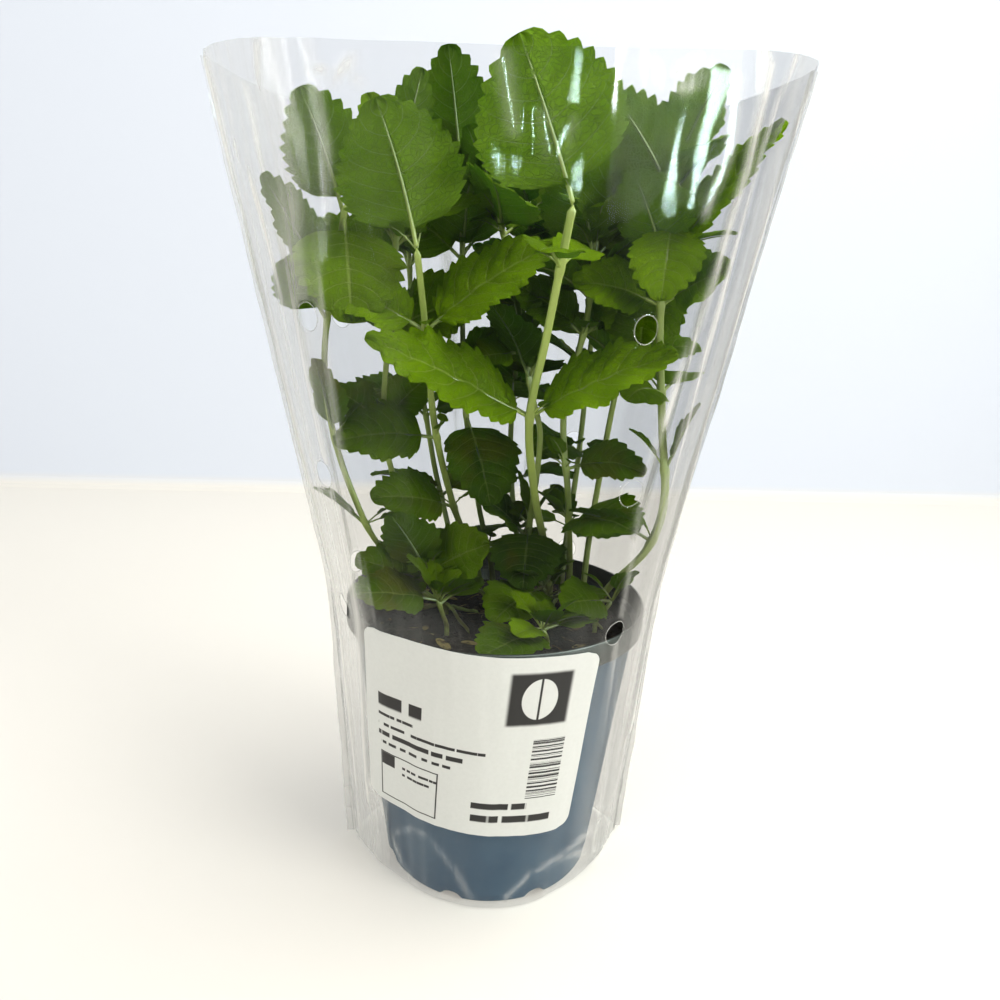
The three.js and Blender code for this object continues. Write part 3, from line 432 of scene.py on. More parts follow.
# A stem's path is x, y and z from the peat up, and its tone goes from old and dark to young and
# light. A leaf that shows singly has its height on the stem, azimuth, pitch, length, width, droop,
# roll and its number of broad lobes on a side. The heights in pairs carry two leaves each, from
# the stem's turn and length. The leaves under more fill gaps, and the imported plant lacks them.
STEMS = [
    {
        "name": "stem_front_centre", "tone": 0.85, "side": 3.2,
        "pairs": [238], "turn": 60, "length": 28,
        "path": [(26, 25, 103), (14, 2, 155), (9, -13, 185), (12, -25, 215), (16, -42, 257)],
        "leaves": [
            (257, -155, 66, 49, 48, 6, 56, 5), (186, -160, 37, 68, 36, 8, -40, 5),
            (186, -19, 34, 58, 36, 18, 32, 5),
        ],
    },
    {
        "name": "stem_front_left", "tone": 0.62, "side": 2.8,
        "path": [(-5, 31, 103), (-18, 15, 145), (-26, 1, 179), (-30, -15, 217), (-33, -28, 243)],
        "leaves": [
            (243, -141, 74, 45, 42, 12, 52, 5), (216, 0, 42, 56, 34, 16, 37, 4),
            (216, -176, 30, 40, 32, 20, -36, 3), (175, -167, -2, 40, 32, 24, -35, 4),
            (144, -156, 20, 37, 28, 24, -36, 3),
        ],
    },
    {
        "name": "stem_right", "tone": 0.66, "side": 3,
        "pairs": [196], "turn": 50, "length": 28,
        "path": [(46, 8, 103), (60, -7, 134), (64, -10, 154), (61, -9, 182), (55, -13, 230), (57, -15, 270)],
        "leaves": [
            (271, -160, 28, 37, 24, 10, -10, 3), (243, -20, 55, 58, 26, 6, 34, 4),
            (243, -125, 60, 34, 32, 10, 15, 3), (228, -43, 34, 28, 30, 20, 49, 3),
            (228, 180, 22, 34, 28, 26, -45, 3), (166, -43, 62, 30, 15, 14, 30, 3),
            (137, 170, 30, 36, 26, 30, 20, 3),
        ],
        "more": [(262, -170, 60, 44, 24, 20, 60, 4), (258, -110, -50, 36, 26, 10, 0, 3)],
    },
    {
        "name": "stem_left", "tone": 0.5, "side": 2.4,
        "pairs": [246], "turn": 20, "length": 38,
        "path": [(-30, 31, 103), (-46, 15, 170), (-45, 12, 211), (-42, 7, 244), (-40, 5, 272)],
        "leaves": [
            (270, 175, 70, 30, 22, 10, -50, 3), (270, -36, 78, 36, 18, 8, -30, 3),
            (178, -26, 48, 27, 22, 20, 45, 3), (178, -172, 40, 25, 22, 20, -35, 3),
            (226, -162, 46, 42, 36, 16, -62, 4), (214, -14, 30, 44, 36, 20, 50, 4),
        ],
        "more": [(250, -90, 40, 34, 28, 20, 30, 3)],
    },
    {
        "name": "stem_far_left", "tone": 0.5, "side": 2.4,
        "path": [(-39, 22, 103), (-53, 2, 140), (-64, -2, 174), (-67, -4, 207), (-58, -11, 258)],
        "leaves": [
            (254, -159, 74, 41, 30, 10, 62, 4), (228, 169, 62, 44, 26, 6, 32, 4),
            (218, -125, 30, 36, 30, 20, 40, 3), (174, -132, 78, 32, 20, 10, 0, 3),
            (139, -165, 10, 26, 20, 20, 0, 2),
        ],
        "more": [(254, -75, -62, 40, 38, 8, 0, 4), (110, -90, 25, 30, 24, 30, 10, 3)],
    },
    {
        "name": "stem_mid_left", "tone": 0.38, "side": 2.3,
        "pairs": [200, 224], "turn": 40, "length": 40,
        "path": [(1, 27, 103), (-7, 25, 144), (-14, 22, 188), (-17, 18, 254), (-18, 15, 276)],
        "leaves": [
            (274, -116, 84, 42, 26, 6, 20, 3), (182, -94, -62, 40, 38, 14, 0, 4),
            (243, -75, 58, 38, 30, 10, -15, 3), (243, -147, 36, 32, 28, 16, -60, 3),
        ],
        "more": [(262, -30, 60, 34, 26, 20, 10, 3), (122, -110, 25, 30, 24, 30, 10, 3)],
    },
    {
        "name": "stem_mid", "tone": 0.4, "side": 2.4,
        "pairs": [198, 226, 252], "turn": 65, "length": 40,
        "path": [(13, 21, 103), (16, 6, 175), (11, 4, 195), (6, 8, 222), (-5, 11, 266)],
        "leaves": [(209, -162, -4, 22, 20, 10, -30, 2), (130, 161, 34, 34, 26, 24, -20, 3)],
        "more": [
            (258, -150, 70, 34, 28, 20, 10, 3), (240, 20, 40, 34, 28, 20, 10, 3),
            (120, -70, 25, 28, 24, 30, 10, 3), (136, -100, -25, 34, 30, 20, 0, 3),
        ],
    },
    {
        "name": "stem_mid_right", "tone": 0.52, "side": 2.6,
        "pairs": [230, 256], "turn": 50, "length": 40,
        "path": [(35, 25, 103), (29, 7, 150), (25, 6, 187), (31, 2, 222), (33, 3, 258)],
        "leaves": [
            (244, -136, 58, 38, 34, 10, 30, 3), (244, -32, 44, 34, 32, 20, 55, 3),
            (216, -31, 44, 36, 32, 20, 52, 3), (216, 160, 30, 34, 30, 20, -40, 3),
            (163, -20, 20, 33, 24, 46, 30, 3),
        ],
        "more": [
            (250, -60, 66, 40, 34, 10, 10, 4), (236, 20, 50, 38, 32, 20, 30, 4),
            (140, -60, 20, 40, 34, 30, 20, 3),
        ],
    },
    {
        "name": "stem_behind_right", "tone": 0.56, "side": 2.4,
        "pairs": [204, 240], "turn": 35, "length": 40,
        "path": [(41, 22, 103), (46, 20, 172), (51, 14, 218), (58, 4, 273)],
        "leaves": [
            (272, -42, 66, 42, 34, 8, -15, 4), (272, -142, 78, 36, 30, 8, 30, 3),
            (268, 165, 70, 52, 20, 4, 5, 3), (262, 80, 50, 34, 30, 20, 0, 3),
        ],
        "more": [
            (250, -100, 62, 40, 34, 10, 20, 4), (262, -70, 40, 40, 32, 20, 20, 4),
            (240, -100, -52, 38, 32, 20, 0, 3),
        ],
    },
    {
        "name": "stem_back_left", "tone": 0.32, "side": 2.4,
        "pairs": [142, 178, 210, 240], "turn": 50, "length": 40,
        "path": [(-16, 40, 103), (-27, 44, 160), (-36, 42, 215), (-39, 38, 262)],
        "more": [(250, -120, 60, 36, 30, 20, 10, 3)],
    },
    {
        "name": "stem_back", "tone": 0.3, "side": 2.4,
        "pairs": [150, 186, 216, 246], "turn": 5, "length": 40,
        "path": [(14, 41, 103), (8, 43, 160), (9, 39, 215), (12, 36, 265)],
        "more": [(128, -120, 20, 30, 26, 30, 20, 3)],
    },
    {
        "name": "stem_back_right", "tone": 0.32, "side": 2.4,
        "pairs": [164, 200, 234], "turn": 45, "length": 40,
        "path": [(33, 33, 103), (38, 38, 160), (40, 36, 210), (41, 30, 256)],
        "more": [(130, -40, 20, 34, 28, 30, 20, 3)],
    },
    {
        "name": "shoot_front", "tone": 0.68, "side": 2,
        "path": [(23, 0, 103), (22, -1, 108), (19, -2, 116)],
        "leaves": [
            (115, -130, 2, 36, 28, 20, -10, 3), (110, 5, 10, 26, 22, 20, 0, 3),
            (115, 75, 30, 22, 16, 20, 0, 2),
        ],
    },
    {
        "name": "shoot_near", "tone": 0.62, "side": 2,
        "path": [(18, -28, 103), (17, -30, 106), (15, -31, 110)],
        "leaves": [(108, -158, 8, 36, 26, 10, -6, 3), (109, 15, 12, 22, 16, 20, 0, 2)],
    },
    {
        "name": "shoot_left", "tone": 0.68, "side": 2,
        "path": [(-20, 4, 103), (-25, 1, 112), (-28, -3, 122)],
        "leaves": [
            (121, -23, 58, 30, 27, 12, 60, 3), (120, -152, 72, 32, 24, 10, 50, 3),
            (114, -157, 42, 42, 28, 16, -42, 4), (116, 155, 30, 30, 24, 20, 0, 3),
        ],
    },
    {
        "name": "shoot_near_left", "tone": 0.6, "side": 2,
        "path": [(-20, -16, 103), (-22, -18, 110), (-24, -20, 117)],
        "leaves": [(116, -162, 6, 34, 26, 12, -20, 3), (114, 100, 20, 24, 20, 20, 0, 2)],
    },
    {
        "name": "shoot_right", "tone": 0.65, "side": 2,
        "path": [(40, -10, 103), (43, -11, 108), (46, -12, 114)],
        "leaves": [(113, -148, 14, 27, 22, 16, -30, 3), (113, -20, 62, 17, 14, 20, -30, 2)],
    },
]
petiole_reach = 6
blade_fold = math.radians(12)
edge_wave = 0.07
cad_blade = 0.7
bends = [
    (0, 0), (0, 10), (0, -10), (12, 0), (-12, 0), (12, 12), (-12, 12), (0, 22), (24, 0), (-24, 0),
    (24, 16), (-24, 16), (0, -22), (18, -14), (-18, -14), (38, 6), (-38, 6), (0, 36), (52, 0),
    (-52, 0), (30, 30), (-30, 30), (70, 10), (-70, 10), (0, 50),
]
leaf_sizes = [1, 0.8, 0.62]
stem_foot = soil_edge - 11
match_within = 0.02


def stem_at(path, z):
    """The axis of a stem at a height: a smooth curve, upright where it leaves the peat."""
    if z <= path[0][2]:
        return Vector((path[0][0], path[0][1], z))
    last = len(path) - 1
    i = 0
    while i < last - 1 and z > path[i + 1][2]:
        i += 1

    def slope(k):
        if k == 0:
            return Vector((0, 0))
        low, high = path[k - 1], path[min(k + 1, last)]
        return (Vector(high[:2]) - Vector(low[:2])) / (high[2] - low[2])

    low, high = path[i], path[i + 1]
    rise = high[2] - low[2]
    t = (z - low[2]) / rise
    ends = Vector(low[:2]) * (2 * t**3 - 3 * t**2 + 1) + Vector(high[:2]) * (3 * t**2 - 2 * t**3)
    slopes = slope(i) * (t**3 - 2 * t**2 + t) + slope(i + 1) * (t**3 - t**2)
    return (ends + rise * slopes).to_3d() + Vector((0, 0, z))


def rib_frame(leaf, share):
    """The place of a leaf's rib, 0 at the blade's foot and 1 at its tip, and its side and normal."""
    azimuth, pitch, roll = (math.radians(leaf[key]) for key in ("azimuth", "pitch", "roll"))
    droop = math.radians(leaf["droop"]) or 1e-3
    rise = pitch - droop * max(0, share)
    blade = (leaf["length"] - petiole_reach) * (share > 0)
    petiole = petiole_reach * min(1, 1 + share)
    along = petiole * math.cos(pitch) + blade * (math.sin(pitch) - math.sin(rise)) / droop
    up = petiole * math.sin(pitch) + blade * (math.cos(rise) - math.cos(pitch)) / droop
    ahead = Vector((math.cos(azimuth), math.sin(azimuth), 0))
    left = Vector((-math.sin(azimuth), math.cos(azimuth), 0))
    above = Vector((0, 0, math.cos(rise))) - math.sin(rise) * ahead
    side = math.cos(roll) * left + math.sin(roll) * above
    normal = math.cos(roll) * above - math.sin(roll) * left
    return leaf["base"] + along * ahead + Vector((0, 0, up)), side, normal


def draw(low, high):
    """The next number of the rule that the plant grew by."""
    global seed
    seed = (seed * 1664525 + 1013904223) % 2**32
    return low + (high - low) * seed / 2**32


def paired_leaves(stem):
    top = stem["path"][-1][2]
    for pair, z in enumerate(stem.get("pairs", ())):
        for opposite in (0, 180):
            share = (z - soil_edge) / (top - soil_edge)
            length = stem["length"] * (0.8 + 0.25 * share) * draw(0.88, 1.12)
            azimuth = stem["turn"] + 90 * pair + opposite + draw(-14, 14)
            pitch = 8 + 36 * share + draw(-16, 16)
            width = length * draw(0.68, 0.84)
            lobes = 2 if length < 24 else 3
            yield z, azimuth, pitch, length, width, draw(20, 60), draw(-34, 34), lobes


def tip_leaves(stem):
    if "leaves" not in stem:
        for opposite in (0, 180):
            azimuth = stem["turn"] + 45 + opposite + draw(-20, 20)
            pitch = 52 + draw(-8, 8)
            yield stem["path"][-1][2] - 2, azimuth, pitch, draw(17, 22), draw(10, 13), 20, 0, 2


def as_wished(stem, wish, turn=0, lift=0, size=1):
    """A leaf with its measures named, turned and lifted by some degrees and made smaller."""
    z, azimuth, pitch, length, width, droop, roll, lobes = wish
    leaf = {"azimuth": azimuth + turn, "pitch": pitch + lift, "length": length * size}
    leaf.update(width=width * size, droop=droop, roll=roll, lobes=lobes, z=z)
    leaf["base"] = stem_at(stem["path"], z)
    return leaf


def as_grown(stem, wish, tips):
    """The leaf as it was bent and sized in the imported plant, found by its tip, or None."""
    for size in leaf_sizes:
        for turn, lift in bends:
            leaf = as_wished(stem, wish, turn, lift, size)
            place, _, normal = rib_frame(leaf, 1)
            if tips.find((place + normal * cad_blade / 2) * MM)[2] < match_within * MM:
                return leaf
    return None


def grid(shape, rows, columns):
    """A flat grid of new vertices in the mesh, with the share of each along and across it."""
    made = bmesh.ops.create_grid(shape, x_segments=rows, y_segments=columns, size=1)
    return [(vert, (vert.co.x + 1) / 2, (vert.co.y + 1) / 2) for vert in made["verts"]]


def faces_of(spots):
    return list({face for vert, _, _ in spots for face in vert.link_faces})


tooth_rows = [(0, 0), (0.4, 0.65), (0.74, 1), (0.88, 0.55)]  # the share of a tooth, and its height
tooth_pitch = 3.6
tooth_share, pillow_share, pucker_share = 0.05, 0.026, 0.022  # heights, of a blade's length
vein_pairs = 7
vein_lean, vein_curve = 0.12, 0.16  # how far a side vein runs towards the tip, of the length
blade_thickness = 0.32
rib_steps = 18
stem_step = 2.2


def outline(leaf, share):
    """Half the width of a blade without its teeth."""
    return leaf["width"] / 2 * math.sin(math.pi * share**0.72) ** 0.62


def add_blade(shape, leaf, tone):
    """A toothed blade that is folded at its rib, waved at its edge and puckered between veins."""
    reach = leaf["length"] - petiole_reach
    teeth = max(4, min(12, round(reach / tooth_pitch)))
    columns = 18 if reach > 22 else 12 if reach > 10 else 6
    rim = []
    for under in (0, 1):
        spots = grid(shape, 4 * teeth, columns)
        faces = faces_of(spots)
        places = {}
        for vert, share, half_share in spots:
            whole, part = divmod(round(share * 4 * teeth), 4)
            into, tooth = tooth_rows[part]
            share = (whole + into) / teeth
            v = 2 * half_share - 1
            half = outline(leaf, share) if 0 < whole + into < teeth else 0
            full = min(1, half)
            odd = noise.noise(leaf["base"] / 7 + Vector((whole * 1.7, 3 * (v > 0), 0)))
            tooth_size = tooth_share * reach * (1 + 0.9 * odd) * min(1, half / (0.12 * reach))
            edge = abs(v) ** 5
            across = v * (half + tooth_size * (tooth - 0.4) * edge)
            place, side, normal = rib_frame(leaf, share + 0.14 / teeth * tooth * edge * full)
            hinge = math.sqrt(across**2 + 1) - 1
            phase = (share - vein_lean * abs(v) - vein_curve * v * v) * vein_pairs
            pillow = math.sin(math.pi * abs(phase - round(phase)))
            relief = pillow_share * reach * pillow * (1 - abs(v) ** 3) * min(1, 5 * abs(v))
            relief += pucker_share * reach * noise.noise(place / 6 + Vector((v, share, 0)) * 2)
            crest = math.cos(math.pi * (share * (leaf["lobes"] + 1) - 0.75))
            wave = -edge_wave * half * crest * abs(v) ** 1.5
            relief += wave - 0.05 * half * abs(v) ** 4 - under * blade_thickness * (1 - v**8)
            vert.co = place + side * across * math.cos(blade_fold)
            vert.co += normal * (hinge * math.sin(blade_fold) + relief * full)
            vert[tone_layer] = tone
            places[vert] = (share, half_share)
            if full == 0 or abs(v) > 0.999:
                rim.append(vert)
        for face in faces:
            face.material_index = under
            for corner in face.loops:
                corner[uv_layer].uv = places[corner.vert]
    bmesh.ops.remove_doubles(shape, verts=rim, dist=1e-3)


def smooth(low, high, value):
    share = max(0, min(1, (value - low) / (high - low)))
    return share * share * (3 - 2 * share)


def add_tube(shape, frames, around, tone, square=0, fade=0):
    """A closed tube through frames of a place, a side, a normal and two radii. Its tone may fade."""
    spots = grid(shape, len(frames) - 1, around)
    faces = faces_of(spots)
    for vert, share, turn_share in spots:
        place, side, normal, wide, high = frames[round(share * (len(frames) - 1))]
        turn = FULL_TURN * turn_share
        ahead, up = math.cos(turn), math.sin(turn)
        if square:
            reach = (abs(ahead) ** square + abs(up) ** square) ** (-1 / square)
            reach *= 1 - 0.07 * (1 - abs(ahead * up) * 2)
            ahead, up = ahead * reach, up * reach
        vert.co = place + side * wide * ahead + normal * high * up
        vert[tone_layer] = tone - fade * smooth(0.3, 0.75, share)
    for face in faces:
        face.material_index = 2
        for corner in face.loops:
            corner[uv_layer].uv = (0.5, 0.5)
    bmesh.ops.remove_doubles(shape, verts=[vert for vert, _, _ in spots], dist=1e-3)


def add_leaf(shape, leaf, tone, thick=1):
    """A blade on its petiole, which runs on under the blade as the rib."""
    add_blade(shape, leaf, tone)
    frames = []
    for i in range(rib_steps + 1):
        share = -1 + 1.9 * i / rib_steps
        place, side, normal = rib_frame(leaf, share)
        size = thick * (0.75 if share < 0 else 0.62 * (1 - share) ** 0.8 + 0.05)
        sunk = blade_thickness + 0.35 * size if share > 0 else 0.5 * blade_thickness
        ends = 0 if i in (0, rib_steps) else 1
        frames.append((place - normal * sunk, side, normal, size * ends, 0.85 * size * ends))
    add_tube(shape, frames, 8, tone, fade=0.5)


def add_stem(shape, stem, joints, tone):
    """The square stem, a little thinner towards its top and thicker at each pair of leaves."""
    top = stem["path"][-1][2]
    steps = round((top - stem_foot) / stem_step)
    frames = []
    for i in range(steps + 1):
        z = stem_foot + (top - stem_foot) * i / steps
        size = stem["side"] / 2 * (1.12 - 0.3 * i / steps)
        size *= 1 + 0.28 * max((math.exp(-(((z - joint) / 1.8) ** 2)) for joint in joints), default=0)
        size *= 0 if i in (0, steps) else 1
        frames.append((stem_at(stem["path"], z), Vector((1, 0, 0)), Vector((0, 1, 0)), size, size))
    add_tube(shape, frames, 16, tone, square=4)


leaf_paints = []
for name, dark, light, vein, gloss in (
    ("leaf_upper", (0.018, 0.068, 0.001), (0.270, 0.445, 0.001), (0.56, 0.70, 0.20), 0.42),
    ("leaf_under", (0.040, 0.094, 0.006), (0.230, 0.390, 0.030), (0.44, 0.60, 0.24), 0.58),
):
    made, wire, where = paint(name)
    unwrapped = wire.make("ShaderNodeTexCoord", out="UV")
    aside = (unwrapped.part(1) * 2 - 1).maths("ABSOLUTE")
    phase = (unwrapped.part(0) - aside * vein_lean - aside * aside * vein_curve) * vein_pairs
    side_vein = phase.maths("PINGPONG", 0.5).ramp(0.055, 0.0) * aside.ramp(1.05, 0.5)
    rib = aside.ramp(0.05, 0.015)
    wobble = wire.make("ShaderNodeTexNoise", None, {"Vector": unwrapped, "Scale": 11, "Detail": 2}, out=1)
    pushed = {0: wobble, 1: (0.1, 0.1, 0), 2: unwrapped}
    bent = wire.make("ShaderNodeVectorMath", {"operation": "MULTIPLY_ADD"}, pushed)
    net = wire.make(
        "ShaderNodeTexVoronoi",
        {"feature": "DISTANCE_TO_EDGE", "voronoi_dimensions": "2D"},
        {"Vector": wire.stretched(bent, (27, 19, 1)), "Scale": 1},
    ).ramp(0.14, 0.0)
    tone = wire.mark("tone")
    patches = wire.clouds(where, 60, 4) - 0.5
    green = (tone + patches * 0.9).tint(dark, light)
    rusty = wire.clouds(where, 34, 5, 0.6).ramp(0.50, 0.64) * tone.ramp(0.7, 0.3) * 0.6
    green = rusty.tint(green, (0.17, 0.135, 0.010))
    veins = rib * 0.38 + side_vein * 0.45 + net * 0.16
    colour = veins.tint(green, vein)
    skin = wire.clouds(where, 1400, 2)
    relief = skin * 0.3 - net * 0.45 - side_vein * 0.4 - rib * 0.6
    normal = wire.bump(relief, 0.9, 0.0008)
    leafy = wire.surface({
        "Base Color": colour,
        "Roughness": gloss + skin * 0.14,
        "Specular IOR Level": 0.04,
        "Normal": normal,
    })
    glow = wire.make("ShaderNodeBsdfTranslucent", None, {"Color": (0.36, 0.66, 0.02, 1)})
    cover(wire, wire.make("ShaderNodeMixShader", None, {0: 0.28, 1: leafy, 2: glow}))
    leaf_paints.append(made)

stem_paint, wire, where = paint("stem_green")
fibres = wire.clouds(wire.stretched(where, (900, 900, 40)), 1, 3)
green = (wire.mark("tone") * 0.8 + fibres * 0.4).tint((0.080, 0.145, 0.022), (0.44, 0.55, 0.14))
brown = where.part(2).ramp(0.135, 0.098) * wire.clouds(where, 90).ramp(0.4, 0.62) * 0.7
colour = brown.tint(green, (0.10, 0.055, 0.022))
cover(wire, wire.surface({
    "Base Color": colour,
    "Roughness": 0.38 + fibres * 0.2,
    "Normal": wire.bump(fibres, 0.35, 0.0003),
}))

grown = []
for stem in STEMS:
    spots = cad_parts[stem["name"]].data.vertices
    tips = kdtree.KDTree(len(spots))
    for i, spot in enumerate(spots):
        tips.insert(spot.co, i)
    tips.balance()
    grown.append((stem, tips, [as_grown(stem, wish, tips) for wish in stem.get("leaves", ())]))
seed = 11
for stem, tips, leaves in grown:
    leaves += [as_grown(stem, wish, tips) for wish in (*paired_leaves(stem), *tip_leaves(stem))]

full_growth = 180  # from the peat to the highest leaves
young_bounds = 55  # how far from the pot's axis a young leaf may reach
for stem, _, leaves in grown:
    leaves = [leaf for leaf in leaves if leaf] + [as_wished(stem, wish) for wish in stem.get("more", ())]
    shape = bmesh.new()
    uv_layer = shape.loops.layers.uv.new("UVMap")
    tone_layer = shape.verts.layers.float.new("tone")
    top = stem["path"][-1][2]
    joints = {leaf["z"] for leaf in leaves}
    add_stem(shape, stem, joints, stem["tone"] + 0.25)
    for leaf in leaves:
        # Lower leaves get a darker tone, partly for their age and partly as painted shade under the leaves
        # above.
        high = (leaf["z"] - soil_edge) / full_growth
        add_leaf(shape, leaf, stem["tone"] + 0.45 * (high - 0.6) + dice.uniform(-0.1, 0.1))
    # Each joint has young leaves in the angles above the large ones, few on the two front stems.
    young_count = 2 if stem["name"].startswith("stem_front") else 4 if top > 200 else 6
    for z in sorted(joints):
        for i in range(young_count):
            length = dice.uniform(9, 13) if i < 2 else dice.uniform(14, 24)
            bud = {"z": z, "azimuth": dice.uniform(0, 180) + 180 * i, "pitch": dice.uniform(20, 70)}
            bud.update(length=length, width=length * dice.uniform(0.4, 0.62), droop=dice.uniform(10, 60))
            bud.update(roll=dice.uniform(-40, 40), lobes=2)
            bud["base"] = stem_at(stem["path"], min(top - 0.5, z + 0.8))
            tip = rib_frame(bud, 1)[0]
            if math.hypot(tip.x, tip.y) < young_bounds:
                add_leaf(shape, bud, stem["tone"] + dice.uniform(-0.1, 0.35), 0.5)
    bmesh.ops.recalc_face_normals(shape, faces=shape.faces)
    finish_piece(stem["name"], shape, [*leaf_paints, stem_paint], [stem["name"]], sharp=60)

# Pale runners creep over the peat between the feet of the stems and the shoots. Each has its two
# ends on the peat and the height of its arch.

runner_steps = 28
runners = bmesh.new()
uv_layer = runners.loops.layers.uv.new("UVMap")
tone_layer = runners.verts.layers.float.new("tone")
for start, end, arch in (
    ((-36, 33), (-11, -16), 5),
    ((-18, 42), (3, -8), 7),
    ((34, 34), (19, -14), 4),
    ((30, 16), (44, -8), 3),
    ((-34, 10), (-6, 4), 2),
    ((2, 22), (30, 2), 3),
):
    start, end = Vector(start), Vector(end)
    aside = (end - start).orthogonal().normalized()
    frames = []
    for i in range(runner_steps + 1):
        share = i / runner_steps
        spot = start.lerp(end, share) + aside * 2.5 * noise.noise(Vector((5 * share, arch, start.x)))
        z = soil_height(spot.x, spot.y) + 0.3 + arch * math.sin(math.pi * share)
        size = (0 if i in (0, runner_steps) else 1) * (0.95 - 0.3 * share)
        frames.append((Vector((spot.x, spot.y, z)), aside.to_3d(), Vector((0, 0, 1)), size, size))
    add_tube(runners, frames, 10, 0.95)
bmesh.ops.recalc_face_normals(runners, faces=runners.faces)
finish_piece("runners", runners, [*leaf_paints, stem_paint], sharp=60)

# ---------------------------------------------------------------- film sleeve
# A clear conical bag, welded along its two side seams and open at its top and bottom. It was flat
# before the pot was dropped in, so it keeps long folds beside the seams, where it is milky and
# carries a painted sheen, and it is crumpled where it was handled. Round vents are punched through
# both of its sheets.

sleeve_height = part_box("sleeve")[1].z / MM
sleeve_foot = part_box("sleeve")[0].z / MM
# Height, half the width at the seams, half the depth, and how pointed the seams are.
sleeve_sections = [
    (sleeve_foot, 58, 47, 1.8), (117, 66, 63, 1.2), (200, 84, 63, 1.15), (sleeve_height, 107, 59, 1.15),
]
film_thickness = 0.12
film_columns, film_rows = 300, 144
top_tilt, top_dip = 4, 13  # the lower corner under the higher one, and a sheet's middle under both
vent_radius = 4.5
vent_heights = [116, 167, 219.5]
vent_arcs = [-72, 40]  # from the middle of a sheet, along it
girth = 1.08  # the mean length of sleeve to a degree
course_radius = 60  # of the straight tube that the streaks are laid out on


def ruled_point(angle, z, out):
    """A point of the smooth sleeve. The angle is 0 in front and a quarter turn at the +X seam."""
    above = next((i for i, row in enumerate(sleeve_sections) if i and z <= row[0]), 3)
    ends = []
    for height, half_width, half_depth, point in sleeve_sections[above - 1 : above + 1]:
        depth = math.copysign(abs(math.cos(angle)) ** point, math.cos(angle))
        ends.append(Vector(((half_width + out) * math.sin(angle), -(half_depth + out) * depth, height)))
    return ends[0].lerp(ends[1], (z - ends[0].z) / (ends[1].z - ends[0].z))


def sleeve_point(angle, z, out=0):
    """The same with its bends at the sections rounded off."""
    spots = [ruled_point(angle, z + step, out) for step in (-12, 0, 0, 12)]
    return sum(spots, Vector()) / 4


# The folds, each a width, how far it stands out, how white it is with its painted glint, and its
# course: the angle in degrees from the middle of the front sheet, and the height. The first two
# also part the clear middle of the front from its milky sides with their painted sheen.
FOLDS = [
    (5, 0.8, 0.35, [(-38, 300), (-37, 268), (-44, 216), (-46, 150), (-40, 110), (-44, 12)]),
    (5, 1.2, 0.2, [(45, 300), (45, 270), (41, 221), (33, 170), (35, 143), (36, 108), (42, 46), (44, 12)]),
    (3, 0.4, 0.7, [(45, 300), (45, 270), (41, 221), (36, 190)]),
    (4, 0.7, 0.5, [(-50, 298), (-57, 267), (-54, 215), (-52, 130), (-56, 30)]),
    (4, 0.9, 0.8, [(-67, 273), (-61, 252), (-57, 216), (-58, 120)]),
    (3, 0.9, 0.6, [(-80, 300), (-75, 250), (-71, 215), (-70, 130), (-68, 30)]),
    (3, 0.8, 0.9, [(55, 306), (52, 292), (50, 277), (49, 256), (46, 200), (44, 150)]),
    (3, 0.9, 0.8, [(71, 300), (65, 277), (63, 251), (60, 190), (64, 120), (62, 60)]),
    (2, 0.5, 1.0, [(43, 305), (45, 291)]),
    (5, 1.0, 0.3, [(37, 294), (39, 273), (36, 255)]),
    (3, 0.6, 0.4, [(-53, 41), (-47, 35), (-40, 15), (-34, 4)]),
    (4, 0.6, 0.16, [(-40, 24), (-32, 31), (-25, 31), (-15, 18), (-9, 6)]),
    (4, 0.8, 0.3, [(4, 6), (13, 17), (25, 20), (44, 26)]),
    (3, 0.6, 0.3, [(25, 19), (40, 13), (54, 5)]),
    (3, 0.5, 0.7, [(-38, 290), (-33, 287), (-30, 291)]),
    (3, 0.4, 0.3, [(-34, 285), (-31, 289), (-29, 285)]),
    (3, 0.4, 0.6, [(25, 293), (28, 297), (30, 292), (26, 289)]),
    (2, 0.5, 0.12, [(-5, 292), (-3, 272)]),
    (2, 0.5, 0.12, [(2, 278), (3, 266)]),
    (2, 0.5, 0.1, [(6, 276), (4, 262)]),
    (5, 1.0, 0.5, [(-164, 300), (-170, 150)]),
    (5, 0.9, 0.5, [(160, 300), (168, 140), (158, 30)]),
    (4, 1.0, 0.7, [(112, 300), (116, 130)]),
    (4, 1.0, 0.7, [(-112, 300), (-116, 120), (-118, 20)]),
    (4, 0.8, 0.25, [(-146, 60), (-158, 34), (-170, 10)]),
    (4, 0.8, 0.25, [(150, 50), (172, 8)]),
]


def apart(turn, other):
    """The difference of two angles in degrees, by the shorter way round."""
    return (turn - other + 180) % 360 - 180


def fold_turn(course, z):
    """Where a fold is at a height."""
    rows = sorted((height, turn) for turn, height in course)
    for (low, start), (high, end) in zip(rows, rows[1:]):
        if z < high:
            return start + (end - start) * max(0, z - low) / (high - low)
    return rows[-1][1]


